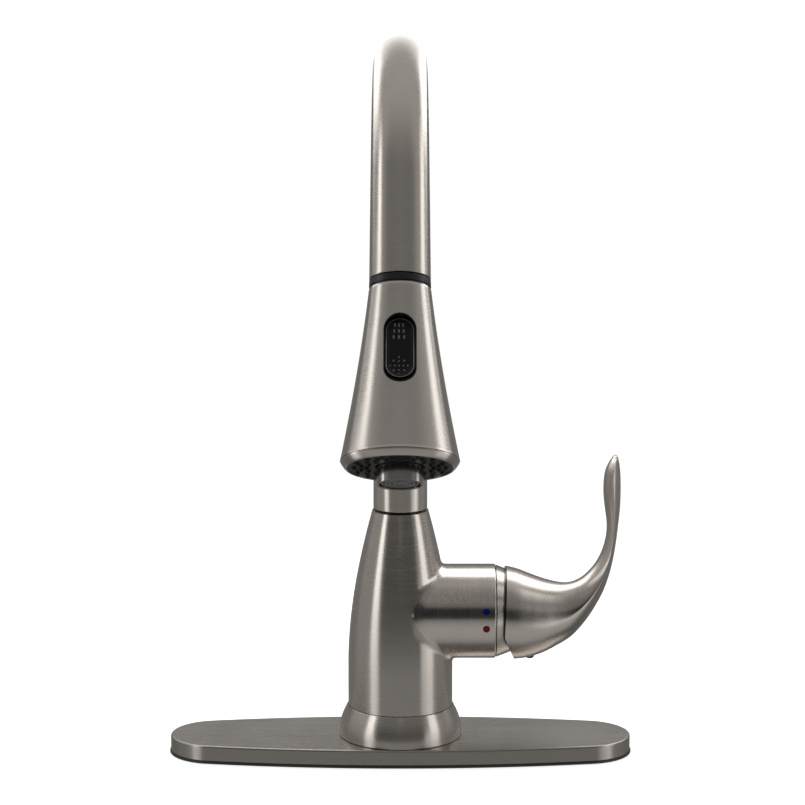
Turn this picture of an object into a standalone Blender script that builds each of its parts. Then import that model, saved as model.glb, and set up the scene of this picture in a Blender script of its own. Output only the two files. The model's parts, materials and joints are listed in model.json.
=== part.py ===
"""Pull-down kitchen faucet: deck plate, side-lever valve body, swivelling high-arc spout,
pull-down spray wand on a hose, and the hardware that clamps it to a countertop.

Run with  blender --background --python part.py  or from Blender's text editor.
The deck surface is z = 0, +Z is up, -Y points at the user and +X at the lever.
Lengths below are in millimetres; MM turns them into Blender's metres.
"""
from math import atan2, cos, pi, radians, sin

import bmesh
import bpy
from mathutils import Matrix, Vector

MM = 0.001
GAP = 0.3                      # clearance between neighbouring pieces

# ---- driving dimensions -------------------------------------------------------------
# deck plate
PLATE_LENGTH = 260.0
PLATE_HALF_DEPTH = 34.8        # at the middle; the long sides bow outwards
PLATE_END_RADIUS = 26.3
PLATE_TOP = 10.2
PLATE_WALL = 2.2
PLATE_EDGE_Z = 1.8             # lower edge of the metal shell
PLATE_ROUNDING = 1.4
PLATE_HOLE = 24.0              # hole radius in the metal shell, hidden by the base ring
SHANK_HOLE = 17.5              # hole radius in the plastic under-plate
LIP_TOP = 1.5                  # the under-plate's lip shows as a dark line round the shell
LIP_OVERHANG = 0.8
PLINTH_TOP = 6.0
HOLLOW_HALF_WIDTH = 17.0       # two pockets that lighten the under-plate
HOLLOW_HALF_LENGTH = 31.0
HOLLOW_X = 78.0
HOLLOW_TOP = 4.0
# body
RING_RADIUS = 34.4
RING_TOP = 27.9
RING_LIP_RADIUS = 29.8         # where the ring's flare meets the body
RING_BORE = 26.6
RING_BOTTOM = 10.5
BODY_FOOT = 12.0               # the body's spigot stands inside the ring
BODY_FOOT_RADIUS = 26.3
BODY_RADIUS = 29.4
BODY_TOP = 139.9
BODY_BORE = 9.5                # hose passage
CAVITY_RADIUS = 22.0
CAVITY_TOP = 50.0
POST_BORE = 12.9               # counterbore for the swivel post
POST_FLOOR = 112.0
# side valve; its axis runs along +X at VALVE_Z
VALVE_Z = 81.6
VALVE_RADIUS = 26.5
VALVE_END = 53.4
VALVE_BORE = 23.2
VALVE_FLOOR = 16.0
PIVOT_X = 48.0                 # stem pin: the lever tilts about this line
CHANNEL_X = 13.6               # the three water channels rise here from the cavity
CHANNEL_SPACING = 8.6
CHANNEL_RADIUS = 3.7
PORTS = [(5.5, -8.6), (5.5, 8.6), (-9.0, 0.0)]
CARTRIDGE_RADIUS = 20.0
MARK_X = 47.8                  # temperature dots on the branch
MARK_RADIUS = 1.8
COLD_ANGLE = 12.5              # degrees above straight ahead
HOT_ANGLE = -8.5
# lever handle
SKIRT_EDGE = 10.25             # the skirt's rim, ahead of the pivot
SKIRT_LEAN = radians(2.3)
RELIEF_X = 57.6                # the lower rim is cut back from here to clear the body
RELIEF_Z = 72.7
RELIEF_LEAN = radians(-19.9)
SCREW_X = 72.9                 # set screw under the handle
STEM_HALF = 3.6                # the brass stem is square
STEM_SLACK = 0.3
# spout
SPOUT_BOTTOM = 141.3
SPOUT_NECK_RADIUS = 15.1
SPOUT_APEX_RADIUS = 13.8
SPOUT_DOCK_RADIUS = 15.2
SPOUT_WALL = 1.5
ARCH_RADIUS = 87.0
ARCH_START = 309.0             # height where the straight leg turns into the arch
DOCK_STRAIGHT = 55.0
DOCK_TILT = radians(26.0)      # the wand's lower end leans out towards the user
# spray hose
HOSE_RADIUS = 6.2
HOSE_WALL = 2.0
HOSE_END_TOP = 78.0            # straight stretch above the wand, along the dock axis
HOSE_BOTTOM = -95.0
# swivel post
POST_RADIUS = 11.0
POST_HOLE = 8.6
POST_TOP = 176.0
POST_GROOVE = 9.1
POST_SHOULDER = 139.6
O_RING_HEIGHTS = (165.0, 150.0)
O_RING_GROOVE = 1.1            # half height of an o-ring groove
# spray wand, measured down its axis from the spout's open end
WAND_TOP = 4.8
WAND_TOP_RADIUS = 15.3
WAND_CREASE = 91.9
WAND_CREASE_RADIUS = 29.1
WAND_WALL = 2.0
FACE_RIM = 95.8
FACE_RIM_RADIUS = 26.2
OUTLET = 103.0
OUTLET_RADIUS = 11.4
# rocker button on the wand's front
BUTTON_DROP = 40.2             # button centre, down the wand's axis
BUTTON_SURFACE = 19.75         # wand radius there
BUTTON_SLOPE = radians(8.5)    # how much the wand's front leans off its axis
BUTTON_HALF_WIDTH = 7.75
BUTTON_HALF_LENGTH = 18.1
ROCKER_PIN_DEPTH = 3.4
ROCKER_TILT = radians(4.5)     # at rest the upper pad is pressed in
SPOOL_OFFSET = 7.2             # diverter spool's axis, towards the front of the wand's axis
# under-deck hardware
DECK_THICKNESS = 30.0
SHANK_RADIUS = 16.5
SHANK_BORE = 14.2
SHANK_BOTTOM = -85.0
SHANK_TOP = 25.0
WASHER_RADIUS = 29.5
NUT_RADIUS = 28.5
JACK_X = 23.0                  # the two jack screws thread through the nut
JACK_RADIUS = 2.5
JACK_HEAD = 4.8
TUBE_BOTTOM = -96.0
TUBE_RADIUS = 3.3
TUBE_WALL = 0.9

DOCK_Y = -ARCH_RADIUS * (1 + cos(DOCK_TILT)) - DOCK_STRAIGHT * sin(DOCK_TILT)
DOCK_Z = ARCH_START + ARCH_RADIUS * sin(DOCK_TILT) - DOCK_STRAIGHT * cos(DOCK_TILT)

# ---- colours: base colour, roughness, metallic --------------------------------------
FINISHES = {
    "brushed_nickel": ((0.52, 0.49, 0.46), 0.30, 1.0),
    "stainless": ((0.62, 0.61, 0.60), 0.35, 1.0),
    "brass": ((0.78, 0.60, 0.30), 0.35, 1.0),
    "copper": ((0.80, 0.47, 0.32), 0.35, 1.0),
    "black_plastic": ((0.02, 0.02, 0.021), 0.45, 0.0),
    "grey_plastic": ((0.10, 0.10, 0.105), 0.50, 0.0),
    "white_plastic": ((0.80, 0.80, 0.78), 0.45, 0.0),
    "black_rubber": ((0.015, 0.015, 0.015), 0.75, 0.0),
    "ceramic": ((0.90, 0.89, 0.86), 0.20, 0.0),
    "braid": ((0.45, 0.45, 0.46), 0.45, 0.6),
    "cold_blue": ((0.01, 0.06, 0.45), 0.35, 0.0),
    "hot_red": ((0.45, 0.01, 0.01), 0.35, 0.0),
}


# ---- scene set-up -------------------------------------------------------------------
def clear_scene():
    for old in list(bpy.data.objects):
        bpy.data.objects.remove(old, do_unlink=True)


def new_collection(name):
    group = bpy.data.collections.new(name)
    bpy.context.scene.collection.children.link(group)
    return group


clear_scene()
PARTS = new_collection("pull_down_kitchen_faucet")
CUTTERS = new_collection("cutters")
MATERIALS = {}


def finish(name):
    """The shared material of a finish, made on first use."""
    if name not in MATERIALS:
        colour, roughness, metallic = FINISHES[name]
        material = bpy.data.materials.new(name)
        material.use_nodes = True
        shader = material.node_tree.nodes["Principled BSDF"]
        shader.inputs["Base Color"].default_value = (*colour, 1.0)
        shader.inputs["Roughness"].default_value = roughness
        shader.inputs["Metallic"].default_value = metallic
        MATERIALS[name] = material
    return MATERIALS[name]


def empty(name, location, rotation=Matrix.Identity(3), parent=None):
    """A joint frame: the pieces that move together are parented to it."""
    frame = bpy.data.objects.new(name, None)
    PARTS.objects.link(frame)
    frame.parent = parent
    frame.matrix_local = Matrix.Translation(Vector(location) * MM) @ rotation.to_4x4()
    return frame


def place(mesh, name, finish_name, frame):
    """Put a finished mesh in the model, or among the cutters when it has no finish."""
    piece = bpy.data.objects.new(name, mesh)
    if finish_name:
        PARTS.objects.link(piece)
        mesh.materials.append(finish(finish_name))
    else:
        CUTTERS.objects.link(piece)
        piece.display_type = "WIRE"
        piece.hide_render = True
    piece.parent = frame
    return piece


# ---- shapes -------------------------------------------------------------------------
def bezier(start, lead, follow, end, count):
    """Points along a cubic curve, both ends included."""
    points = []
    for index in range(count + 1):
        t = index / count
        u = 1 - t
        weights = (u ** 3, 3 * u * u * t, 3 * u * t * t, t ** 3)
        pairs = zip(*(start, lead, follow, end))
        points.append(tuple(sum(w * c for w, c in zip(weights, axis)) for axis in pairs))
    return points


def turned(name, profile, finish_name, frame=None, steps=24):
    """Turn a (radius, height) outline about the frame's Z axis with a Screw modifier."""
    area = 0.0
    for (r0, z0), (r1, z1) in zip(profile, profile[1:] + profile[:1]):
        area += r0 * z1 - r1 * z0
    points = list(profile) if area < 0 else list(reversed(profile))
    solid = min(r for r, _ in points) < 1e-6
    if solid:
        while points[0][0] > 1e-6 or points[-1][0] > 1e-6:
            points = points[1:] + points[:1]
    mesh = bpy.data.meshes.new(name)
    vertices = [(r * MM, 0.0, z * MM) for r, z in points]
    edges = [(i, i + 1) for i in range(len(points) - 1)]
    if not solid:
        edges.append((len(points) - 1, 0))
    mesh.from_pydata(vertices, edges, [])
    piece = place(mesh, name, finish_name, frame)
    screw = piece.modifiers.new("turn", "SCREW")
    screw.axis = "Z"
    screw.steps = steps
    screw.render_steps = steps
    screw.use_smooth_shade = True
    screw.use_merge_vertices = True
    screw.merge_threshold = 0.00005
    return piece


def ring(name, inner, outer, bottom, top, finish_name, frame=None, steps=24):
    """A plain turned ring, or a disc when the inner radius is 0."""
    outline = [(outer, top), (outer, bottom), (inner, bottom), (inner, top)]
    return turned(name, outline, finish_name, frame, steps)


def o_ring(name, radius, thickness, height, finish_name, frame=None):
    """A seal with a round section."""
    sides = 6
    outline = []
    for index in range(sides):
        angle = -2 * pi * index / sides
        outline.append((radius + thickness * cos(angle), height + thickness * sin(angle)))
    return turned(name, outline, finish_name, frame, 16)


def box(name, low, high, finish_name, frame=None):
    """An axis-aligned block between two corners."""
    bm = bmesh.new()
    bmesh.ops.create_cube(bm, size=1.0)
    centre = [(a + b) / 2 for a, b in zip(low, high)]
    for vertex in bm.verts:
        spans = [b - a for a, b in zip(low, high)]
        vertex.co = Vector([c + v * s for c, v, s in zip(centre, vertex.co, spans)]) * MM
    mesh = bpy.data.meshes.new(name)
    bm.to_mesh(mesh)
    bm.free()
    return place(mesh, name, finish_name, frame)


def rod(name, start, end, radius, finish_name, frame=None, sides=12):
    """A solid cylinder or cone between two points."""
    axis = (Vector(end) - Vector(start)) * MM
    bm = bmesh.new()
    bmesh.ops.create_cone(bm, cap_ends=True, segments=sides, radius1=radius * MM,
                          radius2=radius * MM, depth=axis.length)
    turn = axis.to_track_quat("Z", "Y").to_matrix().to_4x4()
    middle = (Vector(start) + Vector(end)) * MM / 2
    bmesh.ops.transform(bm, matrix=Matrix.Translation(middle) @ turn, verts=bm.verts)
    mesh = bpy.data.meshes.new(name)
    bm.to_mesh(mesh)
    bm.free()
    return place(mesh, name, finish_name, frame)


def slab(name, outline, bottom, top, finish_name, frame=None, rounding=0.0, upright=None):
    """Extrude a flat outline from bottom to top; rounding softens the top edge.

    upright maps the outline's own (x, y, height) axes into the frame."""
    bm = bmesh.new()
    loop = [bm.verts.new(Vector((x, y, bottom)) * MM) for x, y in outline]
    base = bm.faces.new(loop)
    raised = bmesh.ops.extrude_face_region(bm, geom=[base])["geom"]
    moved = [item for item in raised if isinstance(item, bmesh.types.BMVert)]
    bmesh.ops.translate(bm, vec=Vector((0, 0, top - bottom)) * MM, verts=moved)
    if rounding:
        chosen = [e for e in bm.edges if e.verts[0] in moved and e.verts[1] in moved]
        bmesh.ops.bevel(bm, geom=chosen, offset=rounding * MM, segments=3, profile=0.5,
                        affect="EDGES")
    if upright:
        bmesh.ops.transform(bm, matrix=upright.to_4x4(), verts=bm.verts)
    bmesh.ops.recalc_face_normals(bm, faces=bm.faces)
    mesh = bpy.data.meshes.new(name)
    bm.to_mesh(mesh)
    bm.free()
    return place(mesh, name, finish_name, frame)


def tube(name, points, radii, wall, finish_name, frame=None, resolution=4):
    """A hollow tube along a route: an open bevelled curve, thickened inwards."""
    curve = bpy.data.curves.new(name, "CURVE")
    curve.dimensions = "3D"
    curve.bevel_depth = 1.0
    curve.bevel_resolution = resolution
    curve.use_fill_caps = False
    spline = curve.splines.new("POLY")
    spline.points.add(len(points) - 1)
    for node, point, radius in zip(spline.points, points, radii):
        node.co = (*(Vector(point) * MM), 1.0)
        node.radius = radius * MM
    guide = bpy.data.objects.new(name + "_guide", curve)
    bpy.context.scene.collection.objects.link(guide)
    bpy.context.view_layer.update()
    evaluated = guide.evaluated_get(bpy.context.evaluated_depsgraph_get())
    mesh = bpy.data.meshes.new_from_object(evaluated)
    mesh.materials.clear()
    bpy.data.objects.remove(guide, do_unlink=True)
    bm = bmesh.new()
    bm.from_mesh(mesh)
    bmesh.ops.remove_doubles(bm, verts=bm.verts, dist=0.00001)
    bmesh.ops.recalc_face_normals(bm, faces=bm.faces)
    bm.to_mesh(mesh)
    bm.free()
    mesh.shade_smooth()
    piece = place(mesh, name, finish_name, frame)
    solidify = piece.modifiers.new("wall", "SOLIDIFY")
    solidify.thickness = wall * MM
    solidify.offset = -1.0
    solidify.use_even_offset = True
    return piece


def loft(name, rings, tip, finish_name, frame=None):
    """Skin closed rings of equal point counts, capped at the start and drawn to a tip."""
    bm = bmesh.new()
    loops = [[bm.verts.new(Vector(p) * MM) for p in section] for section in rings]
    count = len(loops[0])
    for lower, upper in zip(loops, loops[1:]):
        for i in range(count):
            j = (i + 1) % count
            bm.faces.new((lower[i], lower[j], upper[j], upper[i]))
    bm.faces.new(loops[0])
    point = bm.verts.new(Vector(tip) * MM)
    for i in range(count):
        bm.faces.new((loops[-1][i], loops[-1][(i + 1) % count], point))
    bmesh.ops.recalc_face_normals(bm, faces=bm.faces)
    mesh = bpy.data.meshes.new(name)
    bm.to_mesh(mesh)
    bm.free()
    mesh.shade_smooth()
    return place(mesh, name, finish_name, frame)


def combine(piece, others, operation):
    """Add one exact Boolean for each of the other objects."""
    for other in others:
        modifier = piece.modifiers.new(operation.lower(), "BOOLEAN")
        modifier.operation = operation
        modifier.solver = "EXACT"
        modifier.object = other
    return piece


def cut(piece, *others):
    return combine(piece, others, "DIFFERENCE")


def join(piece, *others):
    return combine(piece, others, "UNION")


def stadium(half_width, half_length, arc_steps=8):
    """A flat outline with two straight sides and two round ends, long along its Y."""
    straight = half_length - half_width
    points = []
    for index in range(arc_steps + 1):
        angle = pi * index / arc_steps
        points.append((half_width * cos(angle), straight + half_width * sin(angle)))
    for index in range(arc_steps + 1):
        angle = pi + pi * index / arc_steps
        points.append((half_width * cos(angle), -straight + half_width * sin(angle)))
    return points


def grid_of_angles(count, offset=0.0):
    return [offset + 2 * pi * index / count for index in range(count)]


# ---- joint frames -------------------------------------------------------------------
SPOUT_FRAME = empty("spout_swivel_axis", (0, 0, SPOUT_BOTTOM))
SPOUT_FRAME_ZERO = empty("spout_zero", (0, 0, -SPOUT_BOTTOM), parent=SPOUT_FRAME)
WAND_FRAME = empty("wand_axis", (0, DOCK_Y, DOCK_Z), Matrix.Rotation(-DOCK_TILT, 3, "X"))
VALVE_FRAME = empty("valve_axis", (0, 0, VALVE_Z), Matrix.Rotation(pi / 2, 3, "Y"))
LEVER_FRAME = empty("lever_pivot", (PIVOT_X, 0, VALVE_Z))
BUTTON_FRAME = empty("button_face", (0, -BUTTON_SURFACE, -BUTTON_DROP),
                     Matrix.Rotation(-BUTTON_SLOPE, 3, "X"), WAND_FRAME)
ROCKER_FRAME = empty("rocker_axis", (0, ROCKER_PIN_DEPTH, 0),
                     Matrix.Rotation(-ROCKER_TILT, 3, "X"), BUTTON_FRAME)


# ---- deck plate ---------------------------------------------------------------------
def plate_outline(inset):
    """Two bowed long sides meeting two round ends, drawn anticlockwise."""
    reach = PLATE_LENGTH / 2 - PLATE_END_RADIUS
    slack = PLATE_HALF_DEPTH - PLATE_END_RADIUS
    side = (reach ** 2 + PLATE_HALF_DEPTH ** 2 - PLATE_END_RADIUS ** 2) / (2 * slack)
    turn = atan2(side - PLATE_HALF_DEPTH, reach)
    end_radius = PLATE_END_RADIUS - inset
    side_radius = side - inset
    points = []
    for quarter in range(2):
        sign = 1 if quarter == 0 else -1
        for index in range(13):
            angle = -turn + 2 * turn * index / 12
            points.append((sign * (reach + end_radius * cos(angle)),
                           sign * end_radius * sin(angle)))
        for index in range(1, 8):
            angle = turn + (pi - 2 * turn) * index / 8
            points.append((sign * side_radius * cos(angle),
                           sign * (side_radius * sin(angle) - side + PLATE_HALF_DEPTH)))
    return points


def build_deck_plate():
    shell = slab("deck_plate", plate_outline(0), PLATE_EDGE_Z, PLATE_TOP, "brushed_nickel",
                 rounding=PLATE_ROUNDING)
    pocket = slab("deck_plate_pocket", plate_outline(PLATE_WALL), 0.0,
                  PLATE_TOP - PLATE_WALL, None)
    hole = ring("deck_plate_hole", 0, PLATE_HOLE, 0, PLATE_TOP + 2, None, steps=40)
    cut(shell, pocket, hole)
    base = slab("deck_plate_base", plate_outline(-LIP_OVERHANG), 0.0, LIP_TOP,
                "black_plastic")
    plinth = slab("base_plinth", plate_outline(PLATE_WALL + GAP), 0.5, PLINTH_TOP, None)
    pocket_shape = stadium(HOLLOW_HALF_WIDTH, HOLLOW_HALF_LENGTH)
    hollow_right = slab("base_hollow_right", pocket_shape, -1.0, HOLLOW_TOP, None)
    hollow_left = slab("base_hollow_left", pocket_shape, -1.0, HOLLOW_TOP, None)
    for hollow, side in ((hollow_right, 1), (hollow_left, -1)):
        hollow.rotation_euler = (0, 0, pi / 2)
        hollow.location = (side * HOLLOW_X * MM, 0, 0)
    passage = ring("base_passage", 0, SHANK_HOLE, -1, PLINTH_TOP + 2, None, steps=40)
    join(base, plinth)
    cut(base, hollow_right, hollow_left, passage)


def build_base_ring():
    side = bezier((RING_RADIUS, 13.5), (RING_RADIUS, 19.0), (31.8, 24.0),
                  (RING_LIP_RADIUS, RING_TOP), 4)
    groove_top = RING_BOTTOM + 1.5
    inner = [(RING_BORE, RING_TOP), (RING_BORE, RING_BOTTOM), (28.0, RING_BOTTOM),
             (28.0, groove_top), (31.5, groove_top), (31.5, RING_BOTTOM),
             (RING_RADIUS, RING_BOTTOM)]
    turned("base_ring", side + inner, "brushed_nickel", steps=36)
    ring("base_ring_seal", 28.3, 31.2, PLATE_TOP + GAP, 11.7, "black_rubber", steps=28)


# ---- body ---------------------------------------------------------------------------
def build_body():
    seat = RING_TOP + GAP
    outer = [(BODY_FOOT_RADIUS, BODY_FOOT), (BODY_FOOT_RADIUS, seat), (BODY_RADIUS, seat),
             (BODY_RADIUS, 40.0)]
    outer += bezier((BODY_RADIUS, 50.0), (BODY_RADIUS, 80.0), (24.3, 108.0),
                    (15.7, BODY_TOP), 7)
    bore = [(POST_BORE, BODY_TOP), (POST_BORE, POST_FLOOR), (BODY_BORE, POST_FLOOR),
            (BODY_BORE, CAVITY_TOP), (CAVITY_RADIUS, CAVITY_TOP), (CAVITY_RADIUS, BODY_FOOT)]
    body = turned("faucet_body", outer + bore, "brushed_nickel", steps=32)
    branch = turned("valve_branch", [(0, VALVE_END), (VALVE_RADIUS - 0.8, VALVE_END),
                                     (VALVE_RADIUS, VALVE_END - 0.8), (VALVE_RADIUS, 11.0),
                                     (0, 11.0)], None, VALVE_FRAME, 32)
    socket = ring("cartridge_socket", 0, VALVE_BORE, VALVE_FLOOR, 60, None, VALVE_FRAME, 28)
    join(body, branch)
    cut(body, socket)
    for index in range(3):
        across = (index - 1) * CHANNEL_SPACING
        channel = rod("water_channel_%d" % index, (CHANNEL_X, across, CAVITY_TOP - 6),
                      (CHANNEL_X, across, VALVE_Z + 2.4), CHANNEL_RADIUS, None, sides=8)
        cut(body, channel)
    marks = (("cold_mark", COLD_ANGLE, "cold_blue"), ("hot_mark", HOT_ANGLE, "hot_red"))
    for label, angle, mark in marks:
        tilt = radians(angle)
        outward = Vector((0, -cos(tilt), sin(tilt)))
        centre = Vector((MARK_X, 0, VALVE_Z))
        foot = centre + outward * (VALVE_RADIUS - 0.9)
        pocket = rod(label + "_pocket", foot, centre + outward * (VALVE_RADIUS + 1.5),
                     MARK_RADIUS + GAP, None, sides=8)
        cut(body, pocket)
        rod(label, foot + outward * GAP, centre + outward * (VALVE_RADIUS + 0.1), MARK_RADIUS,
            mark, sides=8)


def build_waterways():
    """Copper stubs from the valve's channels down through the shank."""
    spread = 10.4                  # the tubes' circle inside the shank
    bend_top, bend_bottom = 45.5, 29.5
    routes = {"hot_inlet_tube": (-CHANNEL_SPACING, radians(-62)),
              "mixed_outlet_tube": (0.0, 0.0),
              "cold_inlet_tube": (CHANNEL_SPACING, radians(62))}
    for name, (across, angle) in routes.items():
        below = Vector((spread * cos(angle), spread * sin(angle), 0))
        above = Vector((CHANNEL_X, across, 0))
        points = [above + Vector((0, 0, CAVITY_TOP - 1.0)), above + Vector((0, 0, bend_top))]
        for index in range(1, 4):
            t = index / 4
            ease = t * t * (3 - 2 * t)
            height = Vector((0, 0, bend_top - (bend_top - bend_bottom) * t))
            points.append(above.lerp(below, ease) + height)
        points.append(below + Vector((0, 0, bend_bottom)))
        points.append(below + Vector((0, 0, TUBE_BOTTOM)))
        tube(name, points, [TUBE_RADIUS] * len(points), TUBE_WALL, "copper", resolution=2)


# ---- side valve ---------------------------------------------------------------------
def drill(piece, label, centres, radius, low, high):
    """Cut a set of holes along the valve's axis."""
    for index, (down, across) in enumerate(centres):
        hole = rod("%s_%d" % (label, index), (down, across, low), (down, across, high),
                   radius, None, VALVE_FRAME, 8)
        cut(piece, hole)


def build_valve():
    # the cartridge stacks up from the socket's floor; heights are along the valve's axis
    seal_low = VALVE_FLOOR + GAP
    seal_high = 17.6
    base_high = 22.5
    disc_high = 26.0
    seal = ring("cartridge_seal", 0, CARTRIDGE_RADIUS, seal_low, seal_high, "black_rubber",
                VALVE_FRAME, 24)
    drill(seal, "seal_port", PORTS, 3.4, seal_low - 1, seal_high + 1)
    base = ring("cartridge_base", 0, CARTRIDGE_RADIUS, seal_high + GAP, base_high,
                "white_plastic", VALVE_FRAME, 24)
    drill(base, "base_port", PORTS, 3.0, seal_high - 1, base_high + 1)
    fixed = ring("fixed_disc", 0, 15.5, base_high + GAP, disc_high, "ceramic", VALVE_FRAME, 24)
    drill(fixed, "disc_port", PORTS, 2.8, base_high - 1, disc_high + 1)
    turned("moving_disc", [(0, 29.5), (10.5, 29.5), (10.5, 26.3), (7.0, 26.3), (7.0, 27.8),
                           (0, 27.8)], "ceramic", VALVE_FRAME, 20)
    turned("disc_carrier", [(3.3, 33.4), (9.5, 33.4), (9.5, 29.8), (3.3, 29.8)],
           "white_plastic", VALVE_FRAME, 16)
    shell_top = 43.0
    turned("cartridge_shell", [(CARTRIDGE_RADIUS, shell_top),
                               (CARTRIDGE_RADIUS, base_high + GAP), (18.4, base_high + GAP),
                               (18.4, 40.0), (13.0, 40.0), (13.0, shell_top)],
           "white_plastic", VALVE_FRAME, 24)
    turret = turned("cartridge_turret", [(0, 52.0), (12.5, 52.0), (12.5, 39.6), (17.8, 39.6),
                                         (17.8, 34.5), (0, 34.5)], "white_plastic",
                    VALVE_FRAME, 24)
    slot = box("stem_slot", (-8.0, -4.2, 33), (8.0, 4.2, 54), None, VALVE_FRAME)
    pin_hole = rod("stem_pin_hole", (0, -14, PIVOT_X), (0, 14, PIVOT_X), 1.9, None,
                   VALVE_FRAME, 16)
    cut(turret, slot, pin_hole)
    rod("stem_pin", (0, -11.5, PIVOT_X), (0, 11.5, PIVOT_X), 1.6, "stainless", VALVE_FRAME)
    thread_radius = VALVE_BORE - GAP
    ring("cartridge_nut", 13.4, thread_radius, shell_top + GAP, 49.8, "brass", VALVE_FRAME, 28)
    rim = VALVE_END + GAP
    cap = [(26.0, rim), (23.5, 59.6), (22.7, 62.2), (21.2, 63.5), (15.0, 64.2), (15.0, 62.6),
           (20.0, 61.6), (20.9, 60.0), (20.9, 50.2), (thread_radius, 50.2),
           (thread_radius, rim)]
    turned("bonnet_cap", cap, "brushed_nickel", VALVE_FRAME, 32)


# ---- lever handle -------------------------------------------------------------------
# Each section runs from a point on the handle's inner line to one on its outer line,
# both in the XZ plane, with its half width along Y and how far its edges are pinched:
# 0 is an ellipse and 1 is a leaf with a sharp front and back edge.
HANDLE_SECTIONS = [
    ((58.4, 107.2), (56.2, 54.8), 26.2, 0.0),
    ((65.8, 105.4), (64.0, 54.6), 25.4, 0.0),
    ((73.3, 102.5), (71.6, 55.5), 23.5, 0.0),
    ((80.6, 99.9), (80.2, 58.2), 20.9, 0.0),
    ((87.0, 98.3), (88.2, 62.3), 18.3, 0.05),
    ((92.4, 97.7), (96.4, 67.6), 16.1, 0.15),
    ((97.4, 98.7), (103.6, 75.6), 14.4, 0.3),
    ((102.0, 101.2), (109.4, 84.4), 12.9, 0.45),
    ((106.2, 105.2), (114.0, 93.4), 11.5, 0.6),
    ((109.8, 110.0), (117.2, 102.6), 10.3, 0.7),
    ((113.0, 116.6), (119.5, 112.6), 9.2, 0.8),
    ((115.1, 125.0), (121.0, 122.6), 8.6, 0.85),
    ((115.4, 132.6), (122.0, 131.8), 8.7, 0.9),
    ((114.4, 140.4), (122.8, 140.2), 9.6, 0.9),
    ((113.5, 148.4), (123.1, 148.6), 10.5, 0.9),
    ((113.5, 156.4), (123.0, 157.0), 10.3, 0.9),
    ((114.4, 162.4), (122.6, 163.2), 8.8, 0.9),
    ((116.4, 167.0), (121.9, 167.8), 6.0, 0.9),
    ((118.2, 169.7), (121.2, 170.0), 3.2, 0.8),
]
HANDLE_TIP = (119.9, 0.0, 171.0)


def handle_ring(section, count=16):
    """One closed section of the handle, relative to the lever's pivot."""
    (inner_x, inner_z), (outer_x, outer_z), half_width, pinch = section
    centre = Vector(((inner_x + outer_x) / 2, 0, (inner_z + outer_z) / 2))
    across = Vector((outer_x - inner_x, 0, outer_z - inner_z)) / 2
    points = []
    for angle in grid_of_angles(count):
        swell = cos(angle)
        swell = abs(swell) ** (1 + pinch) * (1 if swell > 0 else -1)
        point = centre + across * swell + Vector((0, half_width * sin(angle), 0))
        points.append(point - Vector((PIVOT_X, 0, VALVE_Z)))
    return points


def build_handle():
    rings = [handle_ring(section) for section in HANDLE_SECTIONS]
    tip = Vector(HANDLE_TIP) - Vector((PIVOT_X, 0, VALVE_Z))
    handle = loft("handle", rings, tip, "brushed_nickel", LEVER_FRAME)
    # the skirt's rim leans a little, and its lower part is cut back to clear the body
    edge = box("skirt_edge", (-30, -40, -45), (0, 40, 45), None, LEVER_FRAME)
    edge.location = Vector((SKIRT_EDGE, 0, 0)) * MM
    edge.rotation_euler = (0, SKIRT_LEAN, 0)
    relief = box("skirt_relief", (-30, -40, -60), (0, 40, 0), None, LEVER_FRAME)
    relief.location = Vector((RELIEF_X - PIVOT_X, 0, RELIEF_Z - VALVE_Z)) * MM
    relief.rotation_euler = (0, RELIEF_LEAN, 0)
    hollow = turned("handle_hollow", [(0, 70.3), (19.0, 70.3), (21.0, 69.0), (24.0, 64.0),
                                      (24.6, 60.0), (25.0, 56.0), (25.0, 46.0), (0, 46.0)],
                    None, VALVE_FRAME, 28)
    stem_top = 86.0
    wide = STEM_HALF + STEM_SLACK
    socket = box("stem_socket", (-wide, -wide, 69), (wide, wide, stem_top + GAP), None,
                 VALVE_FRAME)
    screw_hole = rod("screw_hole", (SCREW_X, 0, 50), (SCREW_X, 0, VALVE_Z), 2.2, None)
    plug_seat = rod("plug_seat", (SCREW_X, 0, 50), (SCREW_X, 0, 58.2), 2.9, None)
    cut(handle, edge, relief, hollow, socket, screw_hole, plug_seat)
    rod("handle_screw", (SCREW_X, 0, 68.0), (SCREW_X, 0, VALVE_Z - wide), 1.9, "stainless")
    rod("handle_plug", (SCREW_X, 0, 54.3), (SCREW_X, 0, 57.9), 2.6, "black_plastic")
    stem = box("cartridge_stem", (-STEM_HALF, -STEM_HALF, 39.0),
               (STEM_HALF, STEM_HALF, stem_top), "brass", VALVE_FRAME)
    neck = rod("stem_neck", (0, 0, 30.6), (0, 0, 39.5), 2.2, None, VALVE_FRAME, 16)
    eye = rod("stem_eye", (0, -6, PIVOT_X), (0, 6, PIVOT_X), 1.9, None, VALVE_FRAME, 16)
    join(stem, neck)
    cut(stem, eye)


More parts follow.
